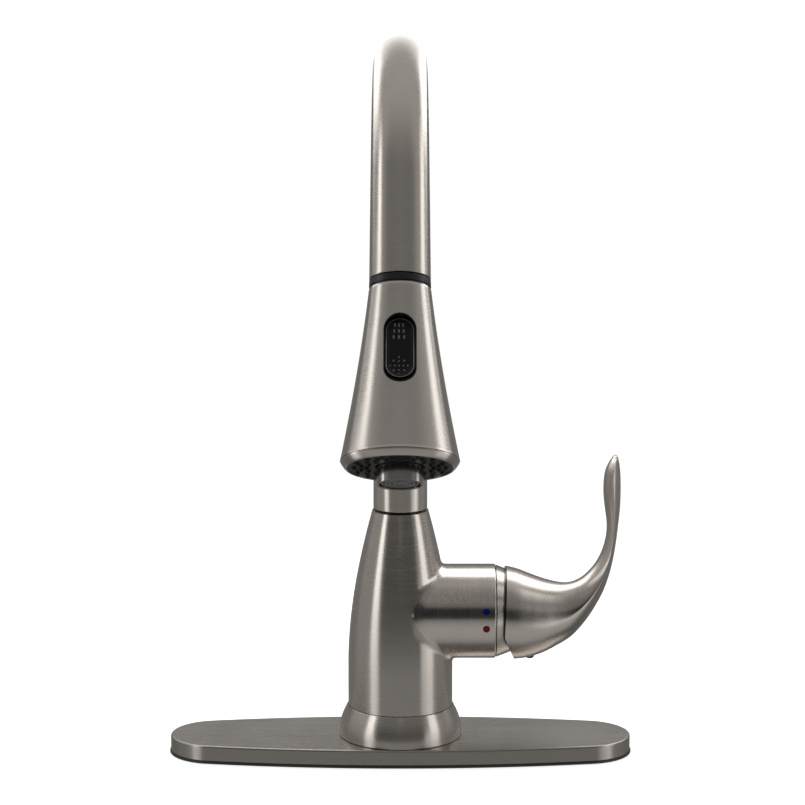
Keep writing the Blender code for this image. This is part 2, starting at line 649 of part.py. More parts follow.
# ---- swivel joint between body and spout --------------------------------------------
def build_swivel():
    foot_radius = POST_BORE - GAP
    foot = POST_FLOOR + GAP
    clip_low, clip_high = 171.8, 173.6
    post = [(foot_radius, POST_SHOULDER), (foot_radius, foot), (POST_HOLE, foot),
            (POST_HOLE, POST_TOP), (POST_RADIUS, POST_TOP), (POST_RADIUS, clip_high),
            (POST_GROOVE, clip_high), (POST_GROOVE, clip_low), (POST_RADIUS, clip_low)]
    for height in O_RING_HEIGHTS:
        high, low = height + O_RING_GROOVE, height - O_RING_GROOVE
        post += [(POST_RADIUS, high), (POST_GROOVE, high), (POST_GROOVE, low),
                 (POST_RADIUS, low)]
    post += [(POST_RADIUS, POST_SHOULDER)]
    turned("spout_post", post, "brass", steps=18)
    for label, height in zip(("upper_o_ring", "lower_o_ring"), O_RING_HEIGHTS):
        o_ring(label, 10.3, 0.75, height, "black_rubber")
    ring("retaining_ring", 9.95, 12.7, clip_low + GAP, clip_high - GAP, "stainless")
    ring("swivel_washer", 11.3, 14.6, BODY_TOP + GAP, SPOUT_BOTTOM - GAP, "black_plastic",
         steps=32)
    ring("spout_sleeve", 11.3, 12.8, 141.9, 171.5, "white_plastic", SPOUT_FRAME_ZERO)


# ---- spout --------------------------------------------------------------------------
def arch_point(angle, radius):
    """A point over the arch; angle 0 is straight above the body."""
    return Vector((0, -ARCH_RADIUS + radius * cos(angle), ARCH_START + radius * sin(angle)))


def down_dock(distance):
    """A point on the dock's axis, measured up from the spout's open end."""
    return Vector((0, DOCK_Y, DOCK_Z)) + distance * Vector((0, sin(DOCK_TILT), cos(DOCK_TILT)))


def spout_route():
    """Points and outer radii from the neck to the open end."""
    leg = ARCH_START - SPOUT_BOTTOM
    rise = leg + ARCH_RADIUS * pi / 2
    fall = ARCH_RADIUS * (pi / 2 - DOCK_TILT) + DOCK_STRAIGHT
    points, radii = [], []
    for index in range(2):
        travel = leg * index / 2
        points.append(Vector((0, 0, SPOUT_BOTTOM + travel)))
        radii.append(SPOUT_NECK_RADIUS + (SPOUT_APEX_RADIUS - SPOUT_NECK_RADIUS) * travel / rise)
    turns = 13
    for index in range(turns + 1):
        angle = (pi - DOCK_TILT) * index / turns
        points.append(arch_point(angle, ARCH_RADIUS))
        past = (angle - pi / 2) * ARCH_RADIUS
        if past < 0:
            grow = (SPOUT_NECK_RADIUS - SPOUT_APEX_RADIUS) * -past / rise
        else:
            grow = (SPOUT_DOCK_RADIUS - SPOUT_APEX_RADIUS) * past / fall
        radii.append(SPOUT_APEX_RADIUS + grow)
    past = (pi / 2 - DOCK_TILT) * ARCH_RADIUS
    for index in range(1, 3):
        travel = DOCK_STRAIGHT * index / 2
        points.append(down_dock(DOCK_STRAIGHT - travel))
        grow = (SPOUT_DOCK_RADIUS - SPOUT_APEX_RADIUS) * (past + travel) / fall
        radii.append(SPOUT_APEX_RADIUS + grow)
    return points, radii


def hose_route():
    """The hose's line inside the spout, from its lower fitting to the wand's hose end.

    It leaves the wand straight, so it swings wide of the arch's centre line first."""
    straight = HOSE_END_TOP - DOCK_STRAIGHT
    lean = atan2(straight, ARCH_RADIUS)
    start_radius = ARCH_RADIUS / cos(lean)
    slope = ARCH_RADIUS * sin(lean) / cos(lean) ** 2
    last = pi - DOCK_TILT - lean
    points = [Vector((0, 0, HOSE_BOTTOM)), Vector((0, 0, 120))]
    turns = 13
    for index in range(turns + 1):
        angle = last * index / turns
        back = min(1.0, last - angle)
        ease = back * back * (3 - 2 * back)
        wide = start_radius + (ARCH_RADIUS - start_radius) * ease
        wide += slope * back * (1 - back) ** 2
        points.append(arch_point(angle, wide))
    points[-1:] = [down_dock(HOSE_END_TOP + 2.0), down_dock(HOSE_END_TOP + GAP)]
    return points


def build_spout():
    offset = Vector((0, 0, SPOUT_BOTTOM))
    points, radii = spout_route()
    tube("spout", [p - offset for p in points], radii, SPOUT_WALL, "brushed_nickel",
         SPOUT_FRAME, 5)
    ring("dock_sleeve", 11.4, 12.8, 0.2, 34.0, "black_plastic", WAND_FRAME)
    route = hose_route()
    tube("spray_hose", [p - offset for p in route], [HOSE_RADIUS] * len(route), HOSE_WALL,
         "braid", SPOUT_FRAME, 2)
    foot = HOSE_BOTTOM - GAP
    turned("hose_fitting", [(6.6, foot), (6.6, foot - 9), (5.0, foot - 9), (5.0, foot - 22),
                            (3.0, foot - 22), (3.0, foot)], "brass", SPOUT_FRAME_ZERO, 24)


# ---- hose end inside the wand -------------------------------------------------------
def build_hose_end():
    ring("hose_end", HOSE_RADIUS - HOSE_WALL, HOSE_RADIUS, 12.0, HOSE_END_TOP, "braid",
         WAND_FRAME, 20)
    ring("hose_ferrule", HOSE_RADIUS + GAP, 8.0, 11.3, 27.0, "stainless", WAND_FRAME, 20)
    turned("hose_nut", [(8.5, 11.0), (8.5, -7.6), (3.5, -7.6), (3.5, 11.0)], "brass",
           WAND_FRAME, 20)
    ring("hose_washer", 3.5, 8.2, -9.4, -7.9, "black_rubber", WAND_FRAME, 20)


# ---- spray wand ---------------------------------------------------------------------
def wand_skin(inset):
    """The trumpet's outline from top to crease, moved inwards by inset."""
    start = (WAND_TOP_RADIUS - inset, -WAND_TOP)
    middle = (19.75 - inset, -45.0)
    end = (WAND_CREASE_RADIUS - inset, -WAND_CREASE)
    lead = tuple(a + (b - a) * 2 / 3 for a, b in zip(start, middle))
    follow = tuple(a + (b - a) * 2 / 3 for a, b in zip(end, middle))
    return bezier(start, lead, follow, end, 5)


def into_button(half_width, half_length, near, far, name, arc_steps=8):
    """A cutter with a stadium outline, from depth near to depth far under the button."""
    # outline x stays x, outline y becomes the button's length, height becomes its depth
    upright = Matrix(((1, 0, 0), (0, 0, 1), (0, 1, 0)))
    return slab(name, stadium(half_width, half_length, arc_steps), near, far, None,
                BUTTON_FRAME, upright=upright)


def build_wand_shell():
    shell = turned("wand_shell", wand_skin(0) + list(reversed(wand_skin(WAND_WALL))),
                   "brushed_nickel", WAND_FRAME, 36)
    window = into_button(BUTTON_HALF_WIDTH + GAP, BUTTON_HALF_LENGTH + GAP, -6, 9,
                         "button_window")
    cut(shell, window)
    top = -WAND_TOP + GAP
    turned("wand_collar", [(11.1, 24.0), (11.1, -0.3), (15.1, -0.3), (15.1, top), (12.6, top),
                           (12.6, -14.0), (8.9, -14.0), (8.9, 24.0)], "black_plastic",
           WAND_FRAME, 28)
    lip = [(28.9, -WAND_CREASE - GAP), (FACE_RIM_RADIUS, -FACE_RIM), (25.9, -FACE_RIM),
           (25.9, -93.0), (24.6, -93.0), (24.6, -90.0), (26.2, -90.0),
           (26.2, -WAND_CREASE - GAP)]
    turned("face_ring", lip, "brushed_nickel", WAND_FRAME, 32)


def build_wand_core():
    outer = [(8.0, -9.7), (8.0, -14.6), (10.8, -14.6), (10.8, -62.0), (24.0, -80.0),
             (24.0, -88.4)]
    inner = [(20.8, -88.4), (20.8, -82.0), (3.0, -60.0), (3.0, -26.0), (4.8, -26.0),
             (4.8, -9.7)]
    core = turned("wand_core", outer + inner, "grey_plastic", WAND_FRAME)
    bore = rod("spool_bore", (0, -SPOOL_OFFSET, -54), (0, -SPOOL_OFFSET, -26), 2.7, None,
               WAND_FRAME, 12)
    slot = box("spool_slot", (-2.0, -14, -45.5), (2.0, -SPOOL_OFFSET, -36), None, WAND_FRAME)
    cut(core, bore, slot)
    spool = rod("diverter_spool", (0, -SPOOL_OFFSET, -51.5), (0, -SPOOL_OFFSET, -28.5), 2.4,
                "white_plastic", WAND_FRAME, 12)
    notch = box("spool_notch", (-4, -12, -43.7), (4, -SPOOL_OFFSET - 0.2, -41.0), None,
                WAND_FRAME)
    cut(spool, notch)
    turned("check_valve", [(4.5, -12.0), (4.5, -24.0), (2.2, -24.0), (2.2, -12.0)],
           "white_plastic", WAND_FRAME, 16)
    o_ring("face_seal", 22.4, 0.85, -89.85, "black_rubber", WAND_FRAME)


NOZZLE_RINGS = ((22.3, 0.0), (19.4, 0.5), (16.5, 0.0))
NOZZLES_PER_RING = 16


def nozzle_places():
    """Centres of the spray nozzles on three staggered circles."""
    places = []
    for radius, stagger in NOZZLE_RINGS:
        for angle in grid_of_angles(NOZZLES_PER_RING, 2 * pi * stagger / NOZZLES_PER_RING):
            places.append((radius * cos(angle), radius * sin(angle)))
    return places


def nozzle_cluster(name, low, high, low_radius, high_radius, sides):
    """All nozzles, or all nozzle holes, as one mesh of separate cones."""
    bm = bmesh.new()
    for x, y in nozzle_places():
        made = bmesh.ops.create_cone(bm, cap_ends=True, segments=sides,
                                     radius1=low_radius * MM, radius2=high_radius * MM,
                                     depth=(high - low) * MM)
        shift = Vector((x, y, (low + high) / 2)) * MM
        bmesh.ops.translate(bm, vec=shift, verts=made["verts"])
    mesh = bpy.data.meshes.new(name)
    bm.to_mesh(mesh)
    bm.free()
    return place(mesh, name, None, WAND_FRAME)


def build_spray_face():
    plate = ring("spray_plate", 12.1, 25.6, -95.2, -93.4, "grey_plastic", WAND_FRAME, 32)
    cut(plate, nozzle_cluster("plate_holes", -97, -92, 1.45, 1.45, 4))
    mat = ring("nozzle_mat", 12.1, 24.2, -93.1, -91.2, "black_rubber", WAND_FRAME, 28)
    join(mat, nozzle_cluster("nozzle_tips", -96.2, -92.5, 0.8, 1.1, 4))
    inner_radius = OUTLET_RADIUS - 1.4
    turned("aerator_housing", [(OUTLET_RADIUS - 0.3, -84.0), (OUTLET_RADIUS, -95.0),
                               (OUTLET_RADIUS, -OUTLET + 0.4), (OUTLET_RADIUS - 0.4, -OUTLET),
                               (inner_radius, -OUTLET), (inner_radius, -84.0)],
           "brushed_nickel", WAND_FRAME, 24)
    screen = [(0, -95.0), (9.7, -95.0), (9.7, -101.2)]
    for index in range(2):
        outer = 8.4 - 3.6 * index
        screen += [(outer, -101.2), (outer, -100.4), (outer - 1.0, -100.4),
                   (outer - 1.0, -101.2)]
    screen += [(0, -101.2)]
    turned("aerator_insert", screen, "grey_plastic", WAND_FRAME, 20)


# ---- rocker button ------------------------------------------------------------------
def build_button():
    skin = [(r + 0.15, z) for r, z in wand_skin(0)]
    bezel = turned("button_bezel", skin + [(7.0, -WAND_CREASE), (7.0, -WAND_TOP)],
                   "black_plastic", WAND_FRAME, 40)
    block = into_button(BUTTON_HALF_WIDTH, BUTTON_HALF_LENGTH, -6, 5.7, "bezel_block")
    pocket = into_button(BUTTON_HALF_WIDTH - 1.0, BUTTON_HALF_LENGTH - 1.0, -7, 4.9,
                         "bezel_pocket")
    floor_slot = box("bezel_floor_slot", (-6.0, 2, -3.2), (6.0, 9, 3.2), None, BUTTON_FRAME)
    pin_hole = rod("bezel_pin_hole", (-7.45, ROCKER_PIN_DEPTH, 0), (7.45, ROCKER_PIN_DEPTH, 0),
                   1.2, None, BUTTON_FRAME, 12)
    combine(bezel, [block], "INTERSECT")
    cut(bezel, pocket, floor_slot, pin_hole)
    rod("rocker_pin", (-7.1, ROCKER_PIN_DEPTH, 0), (7.1, ROCKER_PIN_DEPTH, 0), 0.9,
        "stainless", BUTTON_FRAME, 12)
    upright = Matrix(((1, 0, 0), (0, 0, 1), (0, 1, 0)))
    outline = stadium(BUTTON_HALF_WIDTH - 1.5, BUTTON_HALF_LENGTH - 1.6)
    front = 0.7 - ROCKER_PIN_DEPTH
    back = 2.5 - ROCKER_PIN_DEPTH
    rocker = slab("rocker_button", outline, front, back, "black_plastic", ROCKER_FRAME,
                  upright=upright)
    lug = box("rocker_lug", (-5.4, back - 0.2, -2.0), (5.4, 1.7, 2.0), None, ROCKER_FRAME)
    foot = box("rocker_foot", (-1.2, 1.0, -0.9), (1.2, 7.4, 0.9), None, ROCKER_FRAME)
    eye = rod("rocker_eye", (-9, 0, 0), (9, 0, 0), 1.2, None, ROCKER_FRAME, 12)
    join(rocker, lug, foot)
    cut(rocker, eye)


# ---- under-deck hardware ------------------------------------------------------------
def build_clamp():
    head_radius = CAVITY_RADIUS - GAP
    head_bottom = 13.0
    turned("mounting_shank", [(head_radius, SHANK_TOP), (head_radius, head_bottom),
                              (SHANK_RADIUS, head_bottom), (SHANK_RADIUS, SHANK_BOTTOM),
                              (SHANK_BORE, SHANK_BOTTOM), (SHANK_BORE, SHANK_TOP)], "brass",
           steps=28)
    seat = -DECK_THICKNESS
    hole_radius = SHANK_RADIUS + 0.5
    ring("countertop_washer", hole_radius, WASHER_RADIUS, seat - 3.0, seat, "black_rubber")
    ring("clamp_washer", hole_radius, WASHER_RADIUS, seat - 5.3, seat - 3.3, "stainless")
    nut = ring("mounting_nut", SHANK_RADIUS + GAP, NUT_RADIUS, seat - 17.0, seat - 6.0,
               "brass", steps=28)
    for side, label in ((-1, "left"), (1, "right")):
        x = side * JACK_X
        hole = rod("jack_hole_" + label, (x, 0, seat - 20), (x, 0, seat), JACK_RADIUS + 0.4,
                   None, sides=12)
        cut(nut, hole)
        foot = seat - 27.0
        screw = rod("jack_screw_" + label, (x, 0, foot), (x, 0, seat - 5.6), JACK_RADIUS,
                    "stainless", sides=12)
        head = rod("jack_head_" + label, (x, 0, foot), (x, 0, foot + 4.5), JACK_HEAD, None,
                   sides=6)
        join(screw, head)


build_deck_plate()
build_base_ring()
build_body()
build_waterways()
build_valve()
build_handle()
build_swivel()
build_spout()
build_hose_end()
build_wand_shell()
build_wand_core()
build_spray_face()
build_button()
build_clamp()
bpy.context.view_layer.update()
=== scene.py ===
"""Looks for the pull-down kitchen faucet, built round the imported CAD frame.

Outlines are in millimetres; MM turns them into metres. An outline in (radius, height) is
turned about Z and then moved by WAND, VALVE, BUTTON or ROCKER to its place.
"""
import json
from math import atan2, cos, pi, radians, sin, sqrt, tan

import bmesh
import bpy
from mathutils import Matrix, Vector
from mathutils.bvhtree import BVHTree
from mathutils.interpolate import poly_3d_calc


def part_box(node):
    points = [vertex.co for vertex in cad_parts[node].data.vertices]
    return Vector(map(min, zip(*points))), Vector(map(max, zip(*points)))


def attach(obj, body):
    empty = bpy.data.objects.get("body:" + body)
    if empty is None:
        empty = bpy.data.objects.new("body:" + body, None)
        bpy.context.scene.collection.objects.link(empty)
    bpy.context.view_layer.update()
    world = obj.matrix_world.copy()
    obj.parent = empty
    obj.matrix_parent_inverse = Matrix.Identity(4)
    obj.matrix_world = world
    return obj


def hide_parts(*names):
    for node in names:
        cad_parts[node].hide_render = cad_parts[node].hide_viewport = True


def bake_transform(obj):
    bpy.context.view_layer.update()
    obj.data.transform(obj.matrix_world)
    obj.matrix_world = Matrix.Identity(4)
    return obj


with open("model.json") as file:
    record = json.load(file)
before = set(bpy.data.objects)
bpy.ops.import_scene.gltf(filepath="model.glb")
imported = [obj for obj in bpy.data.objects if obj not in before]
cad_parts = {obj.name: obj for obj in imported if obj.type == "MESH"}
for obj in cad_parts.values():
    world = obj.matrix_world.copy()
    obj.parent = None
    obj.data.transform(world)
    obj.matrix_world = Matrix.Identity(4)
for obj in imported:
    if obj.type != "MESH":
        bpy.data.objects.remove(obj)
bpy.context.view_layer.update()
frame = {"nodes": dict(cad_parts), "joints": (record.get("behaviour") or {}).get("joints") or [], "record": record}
NODES = frame["nodes"]
JOINTS = {joint["name"]: joint for joint in frame["joints"]}
MM = 0.001
CREASE = radians(33)

# ---- places read from the frame ------------------------------------------------------
PLATE_LOW, PLATE_HIGH = (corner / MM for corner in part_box("deck_plate"))
RING_LOW, RING_HIGH = (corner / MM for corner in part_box("base_ring"))
BODY_LOW, BODY_HIGH = (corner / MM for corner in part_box("faucet_body"))
SPOUT_BOTTOM = JOINTS["spout_swivel"]["pos_m"][2] / MM
PIVOT = Vector(JOINTS["flow"]["pos_m"]) / MM
DOCK = Vector(JOINTS["wand_twist"]["pos_m"]) / MM
DOCK_DOWN = Vector(JOINTS["wand_twist"]["axis"]).normalized()
DOCK_TILT = atan2(-DOCK_DOWN.y, -DOCK_DOWN.z)
PULL = JOINTS["wand_pull"]["range_m"][1] / MM
ROCKER_PIN = Vector(JOINTS["rocker_tilt"]["pos_m"]) / MM


def placed(name, data):
    """A new object in the scene."""
    thing = bpy.data.objects.new(name, data)
    bpy.context.scene.collection.objects.link(thing)
    return thing


def shift(x, y, z):
    return Matrix.Translation(Vector((x, y, z)) * MM)


def turn(angle, axis):
    return Matrix.Rotation(angle, 4, axis)


WAND = shift(*DOCK) @ turn(-DOCK_TILT, "X")
VALVE = shift(0, 0, PIVOT.z) @ turn(pi / 2, "Y")
BUTTON_SLOPE = radians(8.5)
BUTTON = WAND @ shift(0, -19.75, -40.2) @ turn(-BUTTON_SLOPE, "X")
ROCKER = shift(*ROCKER_PIN) @ turn(-DOCK_TILT - BUTTON_SLOPE - radians(4.5), "X")


# ---- camera, light and floor ---------------------------------------------------------
def set_camera():
    data = bpy.data.cameras.new("camera")
    data.lens = 143.1
    data.sensor_width = 36
    camera = placed("camera", data)
    camera.location = (0.0012, -1.748, 0.5295)
    camera.rotation_euler = (radians(79.35), 0, 0)
    bpy.context.scene.camera = camera


def area_light(name, place, aim, width, height, radiance, lean=0.0):
    """A soft panel facing aim; lean is how far its top goes back for each metre up."""
    data = bpy.data.lights.new(name, "AREA")
    data.shape = "RECTANGLE"
    data.size = width
    data.size_y = height
    data.energy = radiance * pi * width * height
    light = placed(name, data)
    away = (Vector(place) - Vector(aim)).normalized()
    across = Vector((0, lean, 1)).cross(away).normalized()
    turned_to = Matrix((across, away.cross(across), away)).transposed()
    light.matrix_world = Matrix.Translation(place) @ turned_to.to_4x4()
    light.visible_camera = False


class Graph:
    """A node tree that is written as a chain of calls."""

    def __init__(self, tree):
        self.tree = tree

    def add(self, kind, sockets=(), **settings):
        node = self.tree.nodes.new(kind)
        for key, value in settings.items():
            setattr(node, key, value)
        for key, value in dict(sockets).items():
            self.feed(node.inputs[key], value)
        return node

    def feed(self, socket, value):
        if isinstance(value, bpy.types.Node):
            value = value.outputs[0]
        if isinstance(value, bpy.types.NodeSocket):
            self.tree.links.new(value, socket)
        else:
            socket.default_value = value

    def math(self, operation, *values):
        return self.add("ShaderNodeMath", dict(enumerate(values)), operation=operation)

    def span(self, value, low, high, start=0.0, end=1.0, kind="SMOOTHSTEP"):
        """Maps value from low..high to start..end, held at both ends."""
        return self.add("ShaderNodeMapRange", {"Value": value, "From Min": low, "From Max": high,
                                               "To Min": start, "To Max": end},
                        interpolation_type=kind)

    def mix(self, share, first, second):
        node = self.add("ShaderNodeMix", {0: share, 6: first, 7: second}, data_type="RGBA")
        return node.outputs[2]

    def ramp(self, value, stops):
        """Brightness read off a list of (value, brightness) from -1 to 1."""
        node = self.add("ShaderNodeValToRGB", {0: self.math("MULTIPLY_ADD", value, 0.5, 0.5)})
        ends = node.color_ramp.elements
        for index, (at, level) in enumerate(stops):
            place = (at + 1) / 2
            stop = ends[index] if index < 2 else ends.new(place)
            stop.position = place
            stop.color = (level, level, level, 1)
        return node.outputs[0]

    def noise(self, vector, scale, detail=2.0, roughness=0.5):
        return self.add("ShaderNodeTexNoise", {"Vector": vector, "Scale": scale,
                                               "Detail": detail, "Roughness": roughness})


def set_world():
    """A pale backdrop, and the soft grey room that polished metal mirrors."""
    world = bpy.data.worlds.new("studio")
    bpy.context.scene.world = world
    world.use_nodes = True
    world.node_tree.nodes.clear()
    g = Graph(world.node_tree)
    split = g.add("ShaderNodeSeparateXYZ", {0: g.add("ShaderNodeTexCoord").outputs["Generated"]})
    height = split.outputs["Z"]
    ahead = g.math("MULTIPLY", split.outputs["Y"], -1.0)
    near_side = g.ramp(height, [
        (-1.0, 0.10), (1.0, 0.52), (-0.93, 0.31), (-0.83, 0.42), (-0.57, 0.45), (-0.41, 0.40),
        (-0.25, 0.30), (-0.16, 0.22), (0.0, 0.21), (0.30, 0.20), (0.57, 0.19), (0.71, 0.21),
        (0.87, 0.25), (0.97, 0.36)])
    far_side = g.ramp(height, [
        (-1.0, 0.10), (1.0, 0.52), (-0.85, 0.10), (-0.5, 0.18), (-0.1, 0.22), (0.08, 0.20),
        (0.25, 0.16), (0.42, 0.38), (0.7, 0.50)])
    room = g.mix(g.span(ahead, 0.0, 0.4), far_side, near_side)
    above = g.span(height, -0.16, -0.07)
    below = g.span(height, 0.30, 0.42, 1.0, 0.0)
    shade = g.math("MULTIPLY", g.math("MULTIPLY", above, below), g.span(ahead, 0.48, 0.74))
    room = g.math("MULTIPLY", room, g.math("SUBTRACT", 1.0, g.math("MULTIPLY", shade, 0.99)))
    beside = g.span(g.math("ABSOLUTE", split.outputs["X"]), 0.80, 0.95, 0.0, 0.10)
    room = g.math("ADD", room, beside)
    seen = g.add("ShaderNodeBackground", {"Color": (1, 1, 1, 1), "Strength": 1.0})
    lit = g.add("ShaderNodeBackground", {"Color": (1.0, 0.985, 0.96, 1), "Strength": room})
    path = g.add("ShaderNodeLightPath")
    both = g.add("ShaderNodeMixShader", {0: path.outputs["Is Camera Ray"], 1: lit, 2: seen})
    g.add("ShaderNodeOutputWorld", {"Surface": both})


def set_floor():
    mesh = bpy.data.meshes.new("floor")
    reach = 14.0
    level = -0.0003
    corners = [(x * reach, y * reach, level) for x, y in ((-1, -1), (1, -1), (1, 1), (-1, 1))]
    mesh.from_pydata(corners, [], [(0, 1, 2, 3)])
    floor = placed("floor", mesh)
    floor.visible_glossy = floor.visible_diffuse = floor.visible_shadow = False
    material = bpy.data.materials.new("pale_floor")
    material.use_nodes = True
    shader = material.node_tree.nodes["Principled BSDF"]
    for socket, value in (("Base Color", (0.82, 0.82, 0.82, 1)), ("Roughness", 0.9),
                          ("Specular IOR Level", 0.0), ("Emission Color", (1, 1, 1, 1)),
                          ("Emission Strength", 0.72)):
        shader.inputs[socket].default_value = value
    mesh.materials.append(material)


bpy.context.scene.view_settings.view_transform = "Standard"
set_camera()
set_world()
set_floor()
for name, place, width, height, radiance, lean in (
        ("left_low", (-0.37, -0.235, 0.00), 0.15, 0.22, 0.85, 0.3),
        ("left_middle", (-0.37, -0.195, 0.22), 0.11, 0.22, 1.75, 0.25),
        ("left_high", (-0.37, -0.155, 0.46), 0.10, 0.26, 1.75, 0.45),
        ("right_low", (0.44, -0.26, -0.02), 0.27, 0.22, 0.70, 0.3),
        ("right_middle", (0.44, -0.17, 0.19), 0.16, 0.20, 1.35, 0.35),
        ("right_high", (0.44, -0.06, 0.46), 0.16, 0.28, 1.4, 0.5)):
    area_light(name, place, (0, place[1] * 0.3, place[2]), width, height, radiance, lean)
area_light("overhead", (0.04, 0.23, 0.47), (0.04, 0.02, 0.08), 0.85, 0.27, 1.8)
area_light("rear_left", (-0.62, 0.55, 0.62), (0, -0.1, 0.35), 0.5, 0.40, 0.75)
area_light("rear_right", (0.62, 0.55, 0.62), (0, -0.1, 0.35), 0.5, 0.40, 1.0)


# ---- materials -----------------------------------------------------------------------
def new_material(name):
    material = bpy.data.materials.new(name)
    material.use_nodes = True
    shader = material.node_tree.nodes["Principled BSDF"]
    return material, shader, Graph(material.node_tree)


def lighter(colour, share):
    return tuple(min(1.0, c * share) for c in colour) + (1.0,)


def add_bump(g, shader, strength, distance, height):
    g.feed(shader.inputs["Normal"], g.add("ShaderNodeBump", {
        "Strength": strength, "Distance": distance, "Height": height}))


def brushed_metal(name, colour, roughness, anisotropy, lines=1500.0, depth=1.0):
    """Satin metal whose fine scratches follow the brush map's U direction."""
    material, shader, g = new_material(name)
    split = g.add("ShaderNodeSeparateXYZ", {0: g.add("ShaderNodeUVMap", uv_map="brush")})
    around = g.math("MULTIPLY", split.outputs["X"], 2 * pi)
    along = split.outputs["Y"]
    east = g.math("MULTIPLY", g.math("COSINE", around), 0.7)
    north = g.math("MULTIPLY", g.math("SINE", around), 0.7)
    scratches, bands = (g.noise(g.add("ShaderNodeCombineXYZ", {
        "X": east, "Y": north, "Z": g.math("MULTIPLY", along, rate)}), 1.0, detail, grit)
        for rate, detail, grit in ((lines, 3.0, 0.65), (lines * 0.16, 2.0, 0.5)))
    place = g.add("ShaderNodeTexCoord").outputs["Object"]
    smudge = g.noise(place, 16.0, 3.0, 0.55)
    shade = g.math("ADD", g.math("MULTIPLY", scratches, 0.6), g.math("MULTIPLY", bands, 0.4))
    tint = g.span(shade, 0.32, 0.68, 0.0, 1.0, "LINEAR")
    g.feed(shader.inputs["Base Color"], g.mix(tint, lighter(colour, 0.965), lighter(colour, 1.03)))
    rough = g.math("ADD", g.span(shade, 0.3, 0.7, roughness - 0.02, roughness + 0.02, "LINEAR"),
                   g.span(smudge, 0.35, 0.7, -0.015, 0.03, "LINEAR"))
    g.feed(shader.inputs["Roughness"], rough)
    shader.inputs["Metallic"].default_value = 1.0
    shader.inputs["Anisotropic"].default_value = anisotropy
    shader.inputs["Anisotropic Rotation"].default_value = 0.25
    g.feed(shader.inputs["Tangent"], g.add("ShaderNodeTangent", direction_type="UV_MAP",
                                           uv_map="brush"))
    add_bump(g, shader, 0.3, 0.0000012 * depth, shade)
    return material


def worked_metal(name, colour, roughness, scale=260.0):
    """Machined or drawn metal seen close up: faint mottling and tool chatter."""
    material, shader, g = new_material(name)
    place = g.add("ShaderNodeTexCoord").outputs["Object"]
    mottle = g.noise(place, scale, 4.0, 0.6)
    stain = g.noise(place, 40.0, 3.0, 0.5)
    mixed = g.mix(g.span(stain, 0.35, 0.7), lighter(colour, 1.04), lighter(colour, 0.86))
    g.feed(shader.inputs["Base Color"], mixed)
    g.feed(shader.inputs["Roughness"], g.span(mottle, 0.3, 0.7, roughness - 0.06,
                                              roughness + 0.08, "LINEAR"))
    shader.inputs["Metallic"].default_value = 1.0
    add_bump(g, shader, 0.35, 0.00002, mottle)
    return material


def moulded(name, colour, roughness, grain=1400.0, depth=0.00003, shine=0.5):
    """Moulded plastic, rubber or ceramic with a fine surface grain."""
    material, shader, g = new_material(name)
    place = g.add("ShaderNodeTexCoord").outputs["Object"]
    fine = g.noise(place, grain, 3.0, 0.6)
    broad = g.noise(place, 60.0, 2.0, 0.5)
    mixed = g.mix(g.span(broad, 0.3, 0.7), lighter(colour, 0.88), lighter(colour, 1.12))
    g.feed(shader.inputs["Base Color"], mixed)
    g.feed(shader.inputs["Roughness"], g.span(broad, 0.3, 0.7, roughness - 0.05,
                                              roughness + 0.05, "LINEAR"))
    shader.inputs["Specular IOR Level"].default_value = shine
    add_bump(g, shader, 0.4, depth, fine)
    return material


def braided(name, colour):
    """Woven hose cover: two families of strands crossing over and under."""
    material, shader, g = new_material(name)
    split = g.add("ShaderNodeSeparateXYZ", {0: g.add("ShaderNodeUVMap", uv_map="brush")})
    strands = 12
    pitch = 0.022
    left, right = (g.math(way, g.math("MULTIPLY", split.outputs["X"], strands),
                          g.math("DIVIDE", split.outputs["Y"], pitch / strands * 4))
                   for way in ("ADD", "SUBTRACT"))
    waves = [g.math("ABSOLUTE", g.math("SINE", g.math("MULTIPLY", way, pi)))
             for way in (left, right)]
    beat = g.math("SINE", g.math("MULTIPLY", g.math("ADD", left, right), pi))
    over = g.span(beat, -0.3, 0.3)
    height = g.add("ShaderNodeMix", {0: over, 2: waves[0], 3: waves[1]},
                   data_type="FLOAT").outputs[0]
    # The base colour falls to a quarter of the cover's colour where the weave dips, at the strands' edges. This is
    # painted shade between the strands.
    g.feed(shader.inputs["Base Color"], g.mix(g.span(height, 0.1, 0.8), lighter(colour, 0.25),
                                              lighter(colour, 1.1)))
    g.feed(shader.inputs["Roughness"], g.span(height, 0.0, 1.0, 0.65, 0.38))
    shader.inputs["Metallic"].default_value = 0.35
    add_bump(g, shader, 0.8, 0.0004, height)
    return material


NICKEL_COLOUR = (0.600, 0.560, 0.518)
NICKEL = brushed_metal("satin_nickel", NICKEL_COLOUR, 0.27, 0.91)
NICKEL_CAST = brushed_metal("satin_nickel_lever", NICKEL_COLOUR, 0.29, 0.60, 1000.0, 0.6)
# Polished nickel for the aerator tube, with low roughness. Its base colour is darker than the other nickel to
# stand in for the dark reflection in the tube's middle, which makes it painted shade.
POLISHED_NICKEL_PAINTED_DARK = brushed_metal("polished_nickel_painted_dark", (0.37, 0.35, 0.33), 0.13, 0.30, 1500.0, 0.3)
NICKEL_FLAT = brushed_metal("satin_nickel_sheet", (0.44, 0.415, 0.385), 0.27, 0.75, 1800.0, 1.2)
BLACK = moulded("black_moulded_plastic", (0.006, 0.006, 0.0065), 0.30, 1600.0, 0.00002, 0.35)
BLACK_GLOSS = moulded("black_button_plastic", (0.004, 0.004, 0.0045), 0.26, 1800.0, 0.00001, 0.25)
BASE_GREY = moulded("plate_base_plastic", (0.042, 0.041, 0.040), 0.42, 1500.0, 0.00002)
SATIN_BLACK = moulded("black_collar_plastic", (0.016, 0.016, 0.017), 0.38, 900.0, 0.00004)
